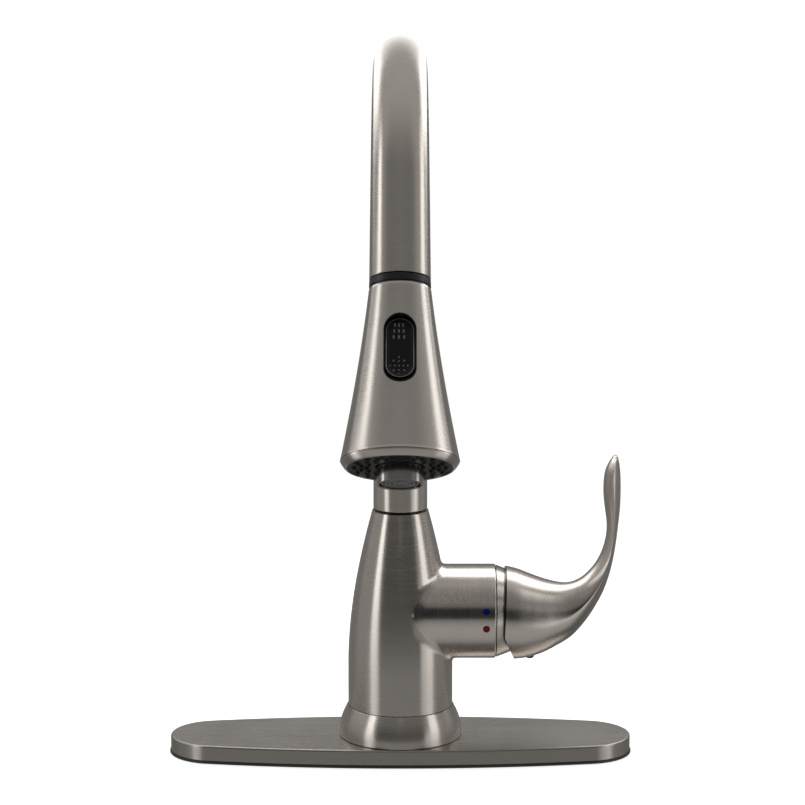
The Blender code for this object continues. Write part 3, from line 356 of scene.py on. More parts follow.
# Light grey for the rocker's raised icons and rim ring. The icons are real raised shapes in black plastic, and
# this grey is painted highlight for the light they catch.
ICON_AND_RIM_HIGHLIGHT_GREY = moulded("icons_and_rim_painted_highlight", (0.26, 0.26, 0.26), 0.35)
GREY = moulded("grey_spray_plate", (0.034, 0.034, 0.036), 0.42, 1500.0, 0.00002, 0.35)
RUBBER = moulded("black_rubber", (0.010, 0.010, 0.010), 0.62, 1200.0, 0.00004)
WHITE = moulded("white_acetal", (0.74, 0.74, 0.71), 0.42)
CERAMIC = moulded("valve_ceramic", (0.86, 0.85, 0.81), 0.20, 2200.0, 0.00001)
SEAL_BLUE = moulded("blue_enamel", (0.002, 0.012, 0.17), 0.30, 1800.0, 0.00001, 0.2)
SEAL_RED = moulded("red_enamel", (0.24, 0.003, 0.004), 0.30, 1800.0, 0.00001, 0.2)
STEEL = worked_metal("plain_stainless", (0.60, 0.59, 0.58), 0.30)
BRASS = worked_metal("machined_brass", (0.72, 0.52, 0.24), 0.30)
COPPER = worked_metal("drawn_copper", (0.72, 0.36, 0.22), 0.33)
BRAID = braided("braided_cover", (0.30, 0.30, 0.31))
AERATOR_GREY = moulded("aerator_grey", (0.27, 0.27, 0.275), 0.36)
DARK_STEEL = worked_metal("blackened_steel", (0.03, 0.03, 0.032), 0.40)
BY_SLOT = {"brushed_nickel": NICKEL, "stainless": STEEL, "brass": BRASS, "copper": COPPER,
           "black_plastic": BLACK, "grey_plastic": GREY, "white_plastic": WHITE,
           "black_rubber": RUBBER, "ceramic": CERAMIC, "braid": BRAID,
           "cold_blue": SEAL_BLUE, "hot_red": SEAL_RED}


# ---- outlines ------------------------------------------------------------------------
def bezier(start, lead, follow, end, count):
    points = []
    for index in range(count + 1):
        t = index / count
        u = 1 - t
        weights = (u ** 3, 3 * u * u * t, 3 * u * t * t, t ** 3)
        pairs = zip(*(start, lead, follow, end))
        points.append(tuple(sum(w * c for w, c in zip(weights, axis)) for axis in pairs))
    return points


def eased(outline, radius, steps=4):
    """The closed outline with its corners rounded; poles on the axis stay sharp."""
    made = []
    count = len(outline)
    for index, corner in enumerate(outline):
        here = Vector(corner)
        back = Vector(outline[index - 1]) - here
        ahead = Vector(outline[(index + 1) % count]) - here
        bend = pi - back.angle(ahead, 0.0)
        if corner[0] < 1e-6 or bend < radians(24):
            made.append(corner)
            continue
        reach = min(radius * tan(bend / 2), 0.45 * back.length, 0.45 * ahead.length)
        first = here + back.normalized() * reach
        last = here + ahead.normalized() * reach
        for step in range(steps + 1):
            t = step / steps
            made.append(tuple(first * (1 - t) ** 2 + here * 2 * t * (1 - t) + last * t * t))
    return made


def dense(points, limit):
    """Extra points so that no straight stretch is longer than limit."""
    made = []
    for start, end in zip(points, points[1:]):
        count = max(1, int((Vector(end) - Vector(start)).length / limit + 0.999))
        made += [tuple(Vector(start).lerp(Vector(end), step / count)) for step in range(count)]
    return made + [points[-1]]


# ---- meshes --------------------------------------------------------------------------
def skin(name, rows, closed=False, spread=None):
    """Quads between rows of points round a form; a row of one point is a pole.

    The brush map holds the share of the way round and the metres along the form."""
    columns = max(len(row) for row in rows)
    vertices, index = [], []
    for row in rows:
        start = len(vertices)
        vertices += [Vector(point) * MM for point in row]
        index.append([start + (i if len(row) > 1 else 0) for i in range(columns)])
    pairs = [(i, i + 1) for i in range(len(rows) - 1)]
    if closed:
        pairs.append((len(rows) - 1, 0))
    faces, coordinates = [], []
    travel = 0.0
    for a, b in pairs:
        step = (vertices[index[b][0]] - vertices[index[a][0]]).length
        near, far = (spread[a], spread[b]) if spread else (travel, travel + step)
        travel += step
        for i in range(columns):
            j = (i + 1) % columns
            corners = [(index[a][i], i, near), (index[a][j], i + 1, near),
                       (index[b][j], i + 1, far), (index[b][i], i, far)]
            kept = [c for k, c in enumerate(corners) if c[0] != corners[k - 1][0]]
            if len(kept) > 2:
                faces.append([c[0] for c in kept])
                coordinates += [x for c in kept for x in (c[1] / columns, c[2])]
    mesh = bpy.data.meshes.new(name)
    mesh.from_pydata(vertices, [], faces)
    mesh.uv_layers.new(name="brush").data.foreach_set("uv", coordinates)
    outward(mesh)
    return mesh


def outward(mesh):
    bm = bmesh.new()
    bm.from_mesh(mesh)
    bmesh.ops.recalc_face_normals(bm, faces=bm.faces)
    bm.to_mesh(mesh)
    bm.free()


def circle(radius, height, segments):
    if radius < 1e-6:
        return [(0.0, 0.0, height)]
    return [(radius * cos(2 * pi * i / segments), radius * sin(2 * pi * i / segments), height)
            for i in range(segments)]


def turned(name, outline, segments=128, easing=0.25, steps=4):
    """A closed (radius, height) outline turned about the Z axis."""
    points = eased(outline, easing, steps) if easing else outline
    if min(r for r, _ in points) < 1e-6:
        while points[0][0] > 1e-6 or points[-1][0] > 1e-6:
            points = points[1:] + points[:1]
        return skin(name, [circle(r, z, segments) for r, z in points])
    return skin(name, [circle(r, z, segments) for r, z in points], closed=True)


def merged(name, meshes):
    """Several meshes as one."""
    bm = bmesh.new()
    bm.loops.layers.uv.new("brush")
    for mesh in meshes:
        bm.from_mesh(mesh)
    whole = bpy.data.meshes.new(name)
    bm.to_mesh(whole)
    bm.free()
    return whole


def moved(mesh, matrix):
    mesh.transform(matrix)
    return mesh


def slab(name, outline, levels):
    """A plate from one outline; each level is (inset, height) and the ends are capped."""
    def ring(inset, height):
        return [(*point, height) for point in outline(inset)]
    rows = [ring(*level) for level in levels]
    middle = [sum(p[k] for p in rows[0]) / len(rows[0]) for k in range(2)]
    return skin(name, [[(*middle, levels[0][1])]] + rows + [[(*middle, levels[-1][1])]])


def stadium(half_width, half_length, arc=24):
    """Returns a function of the inset, so that slab can round its edges."""
    def outline(inset):
        wide = half_width - inset
        straight = half_length - half_width
        points = []
        for end, start in ((1, 0.0), (-1, pi)):
            for index in range(arc + 1):
                angle = start + pi * index / arc
                points.append((wide * cos(angle), end * straight + wide * sin(angle)))
        return points
    return outline


def rounded_levels(low, high, radius, steps=4, both=True):
    """(inset, height) levels of a plate with rounded edges."""
    levels = []
    for step in range(steps + 1):
        angle = pi / 2 * step / steps
        levels.append((radius * (1 - sin(angle)), low + radius * (1 - cos(angle))))
    if not both:
        levels = [(0.0, low)]
    for step in range(steps + 1):
        angle = pi / 2 * step / steps
        levels.append((radius * (1 - cos(angle)), high - radius * (1 - sin(angle))))
    return levels


def show(mesh, name, body, material, slot, *nodes, crease=33, even=True):
    """Make a piece of a mesh that stands for CAD nodes and rides on a body."""
    mesh.name = name
    mesh.materials.clear()
    mesh.materials.append(material)
    piece = placed(name, mesh)
    mesh.shade_smooth()
    if crease:
        mesh.set_sharp_from_angle(angle=radians(crease))
    if even:
        weigh = piece.modifiers.new("even_normals", "WEIGHTED_NORMAL")
        weigh.keep_sharp = True
    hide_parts(*nodes)
    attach(piece, body)
    return piece


def boolean(mesh, operation, tools):
    """The mesh after exact Booleans with other meshes."""
    work = placed("work", mesh)
    helpers = []
    for tool in tools:
        helper = placed("tool", tool)
        helpers.append(helper)
        step = work.modifiers.new("step", "BOOLEAN")
        step.operation = operation
        step.solver = "EXACT"
        step.object = helper
    bpy.context.view_layer.update()
    made = bpy.data.meshes.new_from_object(
        work.evaluated_get(bpy.context.evaluated_depsgraph_get()))
    for helper in helpers + [work]:
        bpy.data.objects.remove(helper)
    return made


def keep_normals(mesh, smooth):
    """Give the faces that lie on a smooth mesh that mesh's own normals."""
    mesh.shade_smooth()
    mesh.set_sharp_from_angle(angle=CREASE)
    points = [v.co.copy() for v in smooth.vertices]
    normals = [n.vector.copy() for n in smooth.vertex_normals]
    sides = [list(p.vertices) for p in smooth.polygons]
    tree = BVHTree.FromPolygons(points, sides)
    wanted = [Vector((0, 0, 0))] * len(mesh.loops)
    for face in mesh.polygons:
        _, facing, _, distance = tree.find_nearest(face.center)
        if distance > 3e-6 or abs(facing.dot(face.normal)) < 0.995:
            continue
        for corner in face.loop_indices:
            spot = mesh.vertices[mesh.loops[corner].vertex_index].co
            at, _, side, _ = tree.find_nearest(spot)
            weights = poly_3d_calc([points[i] for i in sides[side]], at)
            normal = sum((normals[i] * w for i, w in zip(sides[side], weights)), Vector())
            wanted[corner] = normal.normalized()
    mesh.normals_split_custom_set(wanted)
    return mesh


# ---- deck plate and base ring --------------------------------------------------------
def plate_outline(inset):
    half_length = PLATE_HIGH.x
    half_depth = PLATE_HIGH.y
    end = 26.3
    reach = half_length - end
    slack = half_depth - end
    side = (reach ** 2 + half_depth ** 2 - end ** 2) / (2 * slack)
    lean = atan2(side - half_depth, reach)
    points = []
    for sign in (1, -1):
        for index in range(49):
            angle = -lean + 2 * lean * index / 48
            points.append((sign * (reach + (end - inset) * cos(angle)),
                           sign * (end - inset) * sin(angle)))
        for index in range(1, 56):
            angle = lean + (pi - 2 * lean) * index / 56
            points.append((sign * (side - inset) * cos(angle),
                           sign * ((side - inset) * sin(angle) - side + half_depth)))
    return points


def make_plate():
    top = PLATE_HIGH.z
    bottom = PLATE_LOW.z - 0.3
    def ring(inset, height):
        return [(*p, height) for p in plate_outline(inset)]
    def hole(radius, height):
        return [(*(Vector(p).normalized() * radius), height) for p in plate_outline(0)]
    rows = [hole(24.0, top - 2.2), ring(2.2, top - 2.2), ring(2.2, bottom + 0.2),
            ring(2.0, bottom), ring(0.25, bottom), ring(0.0, bottom + 0.25)]
    rows += [ring(inset, height) for inset, height in rounded_levels(0, top, 1.0, 6, False)[1:]]
    rows += [ring(4.0, top), hole(24.0, top)]
    mesh = skin("plate", rows, closed=True)
    layer = mesh.uv_layers["brush"].data
    for face in mesh.polygons:
        if face.normal.z > 0.6:
            for corner in face.loop_indices:
                spot = mesh.vertices[mesh.loops[corner].vertex_index].co
                layer[corner].uv = (spot.x / 0.9, spot.y)
    show(mesh, "plate_cover", "root", NICKEL_FLAT, "brushed_nickel", "deck_plate")
    low, high = (corner.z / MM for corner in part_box("deck_plate_base"))
    lip = slab("gasket", lambda inset: plate_outline(inset - 0.55),
               rounded_levels(low, bottom - 0.1, 0.3, 3))
    plinth = slab("gasket_plinth", lambda inset: plate_outline(inset + 2.6),
                  rounded_levels(bottom - 0.2, high, 0.3, 2))
    mesh = boolean(boolean(lip, "UNION", [plinth]), "DIFFERENCE",
                   [turned("gasket_hole", [(0, -1), (17.5, -1), (17.5, 9), (0, 9)], 96, 0)])
    show(mesh, "plate_gasket", "root", BASE_GREY, "black_plastic", "deck_plate_base")


def make_ring():
    wide = RING_HIGH.x
    top = RING_HIGH.z
    low = RING_LOW.z
    side = bezier((wide, low + 3.0), (wide, 19.0), (31.8, 24.0), (29.8, top), 24)
    side = [(wide, low)] + side + [(26.6, top), (26.6, low), (28.0, low), (28.0, 12.0),
                                   (31.5, 12.0), (31.5, low)]
    show(turned("ring", side, 192, 0.22), "ring_flange", "root", NICKEL, "brushed_nickel",
         "base_ring")
    show(turned("seal", [(28.3, 10.4), (31.3, 10.4), (31.3, 11.7), (28.3, 11.7)], 128, 0.3),
         "ring_gasket", "root", RUBBER, "black_rubber", "base_ring_seal")


# ---- body with its side branch -------------------------------------------------------
BODY_CURVE = bezier((29.4, 50.0), (29.4, 80.0), (24.3, 108.0), (15.7, 139.9), 60)
BRANCH_RADIUS = 26.5
BRANCH_END = 53.4
FILLET = 2.4
DOT_ANGLES = (12.5, -8.5)


def body_radius(height):
    """Radius and slope of the body's outside at a height."""
    if height <= BODY_CURVE[0][1]:
        return BODY_CURVE[0][0], 0.0
    for (r0, z0), (r1, z1) in zip(BODY_CURVE, BODY_CURVE[1:]):
        if height <= z1:
            slope = (r1 - r0) / (z1 - z0)
            return r0 + slope * (height - z0), slope
    (r0, z0), (r1, z1) = BODY_CURVE[-2:]
    return r1, (r1 - r0) / (z1 - z0)


def distances(point):
    """Distances to the body's outside and to the branch's outside, in millimetres."""
    radius, slope = body_radius(point.z)
    steep = 1 / sqrt(1 + slope * slope)
    behind = max(0.0, 8.0 - point.x)
    return ((sqrt(point.x ** 2 + point.y ** 2) - radius) * steep,
            sqrt(point.y ** 2 + (point.z - PIVOT.z) ** 2) - BRANCH_RADIUS + behind * 0.8)


def blended(point):
    """The two forms joined by a rolling-ball fillet."""
    a, b = distances(point)
    inside = Vector((max(FILLET - a, 0.0), max(FILLET - b, 0.0)))
    return max(FILLET, min(a, b)) - inside.length


def gradient(point):
    step = 0.02
    return Vector([blended(point + Vector(axis) * step) - blended(point - Vector(axis) * step)
                   for axis in ((1, 0, 0), (0, 1, 0), (0, 0, 1))]).normalized()


def make_body():
    low = BODY_LOW.z
    seat = RING_HIGH.z + 0.3
    outside = dense([(29.4, seat), (29.4, 50.0)], 1.5)[:-1] + BODY_CURVE
    outline = [(26.3, low), (26.3, seat)] + outside
    outline += [(15.4, BODY_HIGH.z), (12.9, BODY_HIGH.z), (12.9, 112.0), (9.5, 112.0),
                (9.5, 50.0), (22.0, 50.0), (22.0, low)]
    trunk = turned("trunk", outline, 256, 0)
    barrel = dense([(BRANCH_RADIUS, 2.0), (BRANCH_RADIUS, BRANCH_END - 0.9)], 1.0)
    corner = bezier((BRANCH_RADIUS, BRANCH_END - 0.9), (BRANCH_RADIUS, BRANCH_END - 0.4),
                    (BRANCH_RADIUS - 0.4, BRANCH_END), (BRANCH_RADIUS - 0.9, BRANCH_END), 5)
    branch = moved(turned("branch", [(0, 2.0)] + barrel + corner[1:] + [(0, BRANCH_END)],
                          224, 0), VALVE)
    tools = [moved(turned("socket", [(0, 16), (23.2, 16), (23.2, 60), (0, 60)], 96, 0), VALVE)]
    for angle in DOT_ANGLES:
        pocket = turned("pocket", [(0, 26.0), (2.05, 26.0), (2.05, 29), (0, 29)], 40, 0)
        tools.append(moved(pocket, dot_place(angle)))
    mesh = boolean(boolean(trunk, "UNION", [branch]), "DIFFERENCE", tools)
    skinned = set()
    for vertex in mesh.vertices:
        spot = vertex.co / MM
        if not seat - 0.01 < spot.z < BODY_HIGH.z + 0.01 or spot.x > BRANCH_END - 1.0:
            continue
        if abs(min(distances(spot))) > 0.06:
            continue
        for _ in range(6):
            spot = spot - gradient(spot) * blended(spot)
        vertex.co = spot * MM
        skinned.add(vertex.index)
    mesh.shade_smooth()
    mesh.set_sharp_from_angle(angle=CREASE)
    wanted = [Vector((0, 0, 0))] * len(mesh.loops)
    for face in mesh.polygons:
        if not all(index in skinned for index in face.vertices):
            continue
        middle = gradient(face.center / MM)
        if middle.dot(face.normal) < 0.9:
            continue
        for corner_index in face.loop_indices:
            spot = mesh.vertices[mesh.loops[corner_index].vertex_index].co / MM
            wanted[corner_index] = gradient(spot)
    mesh.normals_split_custom_set(wanted)
    show(mesh, "body_casting", "root", NICKEL, "brushed_nickel", "faucet_body", crease=0,
         even=False)


def dot_place(angle):
    """A frame whose +Z leaves the branch at an angle above straight ahead."""
    return shift(47.8, 0, PIVOT.z) @ turn(pi / 2 - radians(angle), "X")


def make_marks():
    for name, node, angle, material, slot in (
            ("cold_dot", "cold_mark", DOT_ANGLES[0], SEAL_BLUE, "cold_blue"),
            ("hot_dot", "hot_mark", DOT_ANGLES[1], SEAL_RED, "hot_red")):
        dome = [(0, 25.9), (1.9, 25.9), (1.9, 26.35), (1.5, 26.5), (0.8, 26.56), (0, 26.58)]
        show(moved(turned("dot", dome, 48, 0.1), dot_place(angle)), name, "root", material,
             slot, node)


# ---- valve bonnet and lever ----------------------------------------------------------
def make_bonnet():
    outline = [(26.0, 53.7)] + bezier((25.7, 54.4), (24.9, 56.6), (23.9, 59.0), (22.7, 62.2), 8)
    outline += [(21.2, 63.5), (15.0, 64.2), (15.0, 62.6), (20.0, 61.6), (20.9, 60.0),
                (20.9, 50.2), (22.9, 50.2), (22.9, 53.7)]
    show(moved(turned("bonnet", outline, 192, 0.2), VALVE), "bonnet_ring", "root", NICKEL,
         "brushed_nickel", "bonnet_cap")


# Each section: (x, z) of its inner side, (x, z) of its outer side, half width, pinch.
HANDLE_SECTIONS = [
    ((58.4, 107.2), (56.2, 54.8), 26.2, 0.0),
    ((65.8, 105.4), (64.0, 54.6), 25.4, 0.0),
    ((73.3, 102.5), (71.6, 55.5), 23.5, 0.0),
    ((80.6, 99.9), (80.2, 58.2), 20.9, 0.0),
    ((87.0, 98.3), (88.2, 62.3), 18.3, 0.05),
    ((92.4, 97.7), (96.4, 67.6), 16.1, 0.15),
    ((97.4, 98.7), (103.6, 75.6), 14.4, 0.3),
    ((102.0, 101.2), (109.4, 84.4), 12.9, 0.45),
    ((106.2, 105.2), (114.0, 93.4), 11.5, 0.6),
    ((109.8, 110.0), (117.2, 102.6), 10.3, 0.7),
    ((113.0, 116.6), (119.5, 112.6), 9.2, 0.8),
    ((115.1, 125.0), (121.0, 122.6), 8.6, 0.85),
    ((115.4, 132.6), (122.0, 131.8), 8.7, 0.9),
    ((114.4, 140.4), (122.8, 140.2), 9.6, 0.9),
    ((113.5, 148.4), (123.1, 148.6), 10.5, 0.9),
    ((113.5, 156.4), (123.0, 157.0), 10.3, 0.9),
    ((114.4, 162.4), (122.6, 163.2), 8.8, 0.9),
    ((116.4, 167.0), (121.9, 167.8), 6.0, 0.9),
    ((118.2, 169.7), (121.2, 170.0), 3.2, 0.8),
]
HANDLE_TIP = (119.9, 0.0, 171.0)
HANDLE_STEPS = 7
SKIRT_EDGE, SKIRT_LEAN = 10.25, radians(2.3)
RELIEF, RELIEF_LEAN = (57.6, 0, 72.7), radians(-19.9)
SCREW_X = 72.9


def through(values, position):
    """A smooth curve through a list of numbers, read at a fractional index."""
    last = len(values) - 1
    index = min(int(position), last - 1)
    t = position - index
    a, b, c, d = (values[max(0, min(last, index + k))] for k in (-1, 0, 1, 2))
    return 0.5 * (2 * b + (c - a) * t + (2 * a - 5 * b + 4 * c - d) * t * t
                  + (3 * b - a - 3 * c + d) * t ** 3)


def handle_row(inner_x, inner_z, outer_x, outer_z, half_width, pinch, count=112):
    pinch = max(0.0, pinch)
    ridge = 0.5 + 0.12 * pinch
    inner = Vector((inner_x, 0, inner_z))
    outer = Vector((outer_x, 0, outer_z))
    centre = inner.lerp(outer, ridge)
    row = []
    for index in range(count):
        angle = 2 * pi * index / count
        swell = abs(cos(angle)) ** (1 + pinch)
        side = (outer - centre) if cos(angle) > 0 else (inner - centre)
        row.append(centre + side * swell + Vector((0, half_width * sin(angle), 0)))
    return row


def make_handle():
    tables = list(zip(*((*inner, *outer, width, pinch)
                        for inner, outer, width, pinch in HANDLE_SECTIONS)))
    rows = []
    last = len(HANDLE_SECTIONS) - 1
    for index in range(last * HANDLE_STEPS + 1):
        rows.append(handle_row(*(through(values, index / HANDLE_STEPS) for values in tables)))
    behind = [a + (a - b) * 4 for a, b in zip(rows[0], rows[1])]
    rows = [[sum(behind, Vector()) / len(behind)], behind] + rows
    tip = Vector(HANDLE_TIP)
    final = rows[-1]
    middle = sum(final, Vector()) / len(final)
    for share in (0.35, 0.65, 0.87):
        round_off = sqrt(1 - share ** 2)
        rows.append([middle.lerp(tip, share) + (point - middle) * round_off for point in final])
    rows.append([tip])
    loft = skin("loft", rows)
    cuts = []
    for proud in (0.3, -0.35):
        edge = block((-30, -40, -45), (proud, 40, 45))
        edge.transform(shift(PIVOT.x + SKIRT_EDGE, 0, PIVOT.z) @ turn(SKIRT_LEAN, "Y"))
        relief = block((-30, -40, -60), (proud, 40, 0))
        relief.transform(shift(*RELIEF) @ turn(RELIEF_LEAN, "Y"))
        cuts.append([edge, relief])
    hollow = moved(turned("hollow", [(0, 70.3), (19.0, 70.3), (21.0, 69.0), (24.0, 64.0),
                                     (24.6, 60.0), (25.0, 56.0), (25.0, 46.0), (0, 46.0)],
                          128, 0.4), VALVE)
    seat = moved(turned("seat", [(0, -30), (2.75, -30), (2.75, 0), (0, 0)], 40, 0),
                 shift(SCREW_X, 0, 58.2))
    # A thin black ring just inside the lever's skirt shows as a dark line at its rim. It is painted shade for the
    # gap between bonnet and skirt, whose real inside is bare metal in shadow.
    liner = moved(turned("liner", [(0, PIVOT.x), (25.25, PIVOT.x), (25.25, 59.2), (0, 59.2)],
                         128, 0), VALVE)
    bore = moved(turned("bore", [(0, 40), (25.05, 40), (25.05, 62), (0, 62)], 128, 0), VALVE)
    liner = boolean(liner, "DIFFERENCE", cuts[1] + [bore])
    show(liner, "skirt_painted_shade_ring", "lever", BLACK, "brushed_nickel", "handle")
    mesh = boolean(loft, "DIFFERENCE", cuts[0] + [hollow, seat])
    keep_normals(mesh, loft)
    show(mesh, "lever_handle", "lever", NICKEL_CAST, "brushed_nickel", "handle", crease=0,
         even=False)
    plug = [(0, -0.1), (1.6, -0.2), (2.35, 0.35), (2.6, 1.0), (2.6, 3.6), (0, 3.6)]
    show(moved(turned("plug", plug, 64, 0.2), shift(SCREW_X, 0, 54.5)), "lever_plug", "lever",
         BLACK, "black_plastic", "handle_plug")


def block(low, high):
    """A plain box, used only as a cutting tool."""
    bm = bmesh.new()
    bmesh.ops.create_cube(bm, size=1.0)
    for vertex in bm.verts:
        vertex.co = Vector([(a + b) / 2 + v * (b - a)
                            for a, b, v in zip(low, high, vertex.co)]) * MM
    mesh = bpy.data.meshes.new("block")
    bm.to_mesh(mesh)
    bm.free()
    return mesh


# ---- spout and hose ------------------------------------------------------------------
ARCH_RADIUS = 87.0
ARCH_START = 309.0
DOCK_STRAIGHT = 55.0
NECK, APEX, MOUTH = 15.1, 13.8, 15.2
HOSE_FOOT = -95.0
HOSE_FREE, HOSE_CRIMP = 78.0, 12.0
HOSE_STRAIGHT_STEPS = 66


def arch_point(angle, radius=ARCH_RADIUS):
    return Vector((0, radius * cos(angle) - ARCH_RADIUS, ARCH_START + radius * sin(angle)))


def up_dock(distance):
    return DOCK - DOCK_DOWN * distance


def spout_line(steps=150):
    """Stations of (point, heading, outer radius) from the neck to the open end."""
    leg = ARCH_START - SPOUT_BOTTOM
    sweep = pi - DOCK_TILT
    rise = leg + ARCH_RADIUS * pi / 2
    whole = leg + ARCH_RADIUS * sweep + DOCK_STRAIGHT
    stations = []
    for index in range(steps + 1):
        travel = whole * index / steps
        if travel <= leg:
            point = Vector((0, 0, SPOUT_BOTTOM + travel))
            heading = Vector((0, 0, 1))
        elif travel <= leg + ARCH_RADIUS * sweep:
            angle = (travel - leg) / ARCH_RADIUS
            point = arch_point(angle)
            heading = Vector((0, -sin(angle), cos(angle)))
        else:
            point = up_dock(whole - travel)
            heading = DOCK_DOWN.copy()
        if travel < rise:
            radius = APEX + (NECK - APEX) * (rise - travel) / rise
        else:
            radius = APEX + (MOUTH - APEX) * (travel - rise) / (whole - rise)
        stations.append((point, heading, radius))
    return stations


def ring_about(point, heading, radius, segments):
    east = Vector((1, 0, 0))
    north = heading.cross(east)
    return [point + (east * cos(2 * pi * i / segments) + north * sin(2 * pi * i / segments))
            * radius for i in range(segments)]


def make_spout():
    wall = 1.5
    stations = spout_line()
    segments = 128
    soft = 0.35
    rows = []
    for end in (0, -1):
        point, heading, radius = stations[end]
        away = heading * (soft if end == 0 else -soft)
        rounding = [ring_about(point + away * (1 - sin(a)), heading, radius - soft * (1 - cos(a)),
                               segments) for a in (radians(d) for d in (90, 60, 30, 0))]
        inner = [ring_about(point, heading, radius - wall, segments)]
        if end == 0:
            rows += inner + rounding
            rows += [ring_about(p, h, r, segments) for p, h, r in stations[1:-1]]
        else:
            rows += rounding[::-1] + inner
    rows += [ring_about(p, h, r - wall, segments) for p, h, r in stations[-4:2:-4]]
    show(skin("spout", rows, closed=True), "spout_tube", "spout", NICKEL, "brushed_nickel",
         "spout")
    show(turned("washer", [(11.3, SPOUT_BOTTOM - 1.1), (14.6, SPOUT_BOTTOM - 1.1),
                           (14.6, SPOUT_BOTTOM - 0.3), (11.3, SPOUT_BOTTOM - 0.3)], 128, 0.15),
         "swivel_ring", "root", BLACK, "black_plastic", "swivel_washer")
    liner = [(11.4, 0.2), (12.9, 0.2), (12.9, 34.0), (11.4, 34.0)]
    show(moved(turned("liner", liner, 96, 0.4), WAND), "dock_liner", "spout", BLACK,
         "black_plastic", "dock_sleeve")


def hose_line():
    """The hose's line from its lower fitting to its crimp at the wand."""
    straight = HOSE_FREE - DOCK_STRAIGHT
    lean = atan2(straight, ARCH_RADIUS)
    start_radius = ARCH_RADIUS / cos(lean)
    slope = ARCH_RADIUS * sin(lean) / cos(lean) ** 2
    last = pi - DOCK_TILT - lean
    points = dense([(0.0, 0.0, HOSE_FOOT), (0.0, 0.0, ARCH_START - 6)], 8.0)
    points = [Vector(p) for p in points]
    for index in range(48):
        angle = last * index / 48
        back = min(1.0, last - angle)
        ease = back * back * (3 - 2 * back)
        wide = start_radius + (ARCH_RADIUS - start_radius) * ease
        wide += slope * back * (1 - back) ** 2
        points.append(arch_point(angle, wide))
    points += [up_dock(HOSE_FREE + (HOSE_CRIMP - HOSE_FREE) * i / HOSE_STRAIGHT_STEPS)
               for i in range(HOSE_STRAIGHT_STEPS + 1)]
    return points


def make_hose():
    """The still length up to the dock, and the straight length that pulls out of it."""
    radius, wall = 6.2, 2.0
    points = hose_line()
    outer, inner, spread = [], [], []
    travel = 0.0
    for index, point in enumerate(points):
        before = points[max(0, index - 1)]
        after = points[min(len(points) - 1, index + 1)]
        heading = (after - before).normalized()
        travel += (point - before).length
        reach = (point - DOCK).dot(-DOCK_DOWN)
        t = max(0.0, min(1.0, (HOSE_FREE - reach) / (HOSE_FREE - HOSE_CRIMP)))
        drawn = PULL * t * t * (3 - 2 * t) if point.y < -ARCH_RADIUS else 0.0
        outer.append(ring_about(point, heading, radius, 32))
        inner.append(ring_about(point, heading, radius - wall, 32))
        spread.append((travel + drawn) * MM)
    split = len(points) - 1 - HOSE_STRAIGHT_STEPS
    for name, first, last, node in (("hose_in_spout", 0, split, "spray_hose"),
                                    ("hose_at_wand", split, len(points) - 1, "hose_end")):
        there = range(first, last + 1)
        back = range(last, first - 1, -3)
        mesh = skin(name, [outer[i] for i in there] + [inner[i] for i in back], closed=True,
                    spread=[spread[i] for i in there] + [spread[i] for i in back])
        mesh.shade_smooth()
        mesh.materials.append(BRAID)
        hose = placed(name, mesh)
        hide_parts(node)
        if first:
            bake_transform(hose)
        else:
            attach(hose, "spout")
    crimp = [(6.5, 11.3), (8.0, 11.3)]
    for level in (14.0, 17.5, 21.0):
        crimp += [(8.0, level), (7.5, level + 0.5), (7.5, level + 1.5), (8.0, level + 2.0)]
    crimp += [(8.0, 27.0), (6.5, 27.0)]
    show(moved(turned("crimp", crimp, 96, 0.3), WAND), "crimp_ferrule", "hose", STEEL,
         "stainless", "hose_ferrule")


# ---- spray wand ----------------------------------------------------------------------
def wand_skin(inset, count=72):
    start = (15.3 - inset, -4.8)
    middle = (19.75 - inset, -45.0)
    end = (29.1 - inset, -91.9)
    lead = tuple(a + (b - a) * 2 / 3 for a, b in zip(start, middle))
    follow = tuple(a + (b - a) * 2 / 3 for a, b in zip(end, middle))
    return bezier(start, lead, follow, end, count)


UPRIGHT = Matrix(((1, 0, 0, 0), (0, 0, 1, 0), (0, 1, 0, 0), (0, 0, 0, 1)))


def into_button(half_width, half_length, near, far):
    """A cutting tool with a stadium outline; near and far are depths under the button."""
    tool = slab("tool", stadium(half_width, half_length, 32), [(0, near), (0, far)])
    tool.transform(BUTTON @ UPRIGHT)
    outward(tool)
    return tool


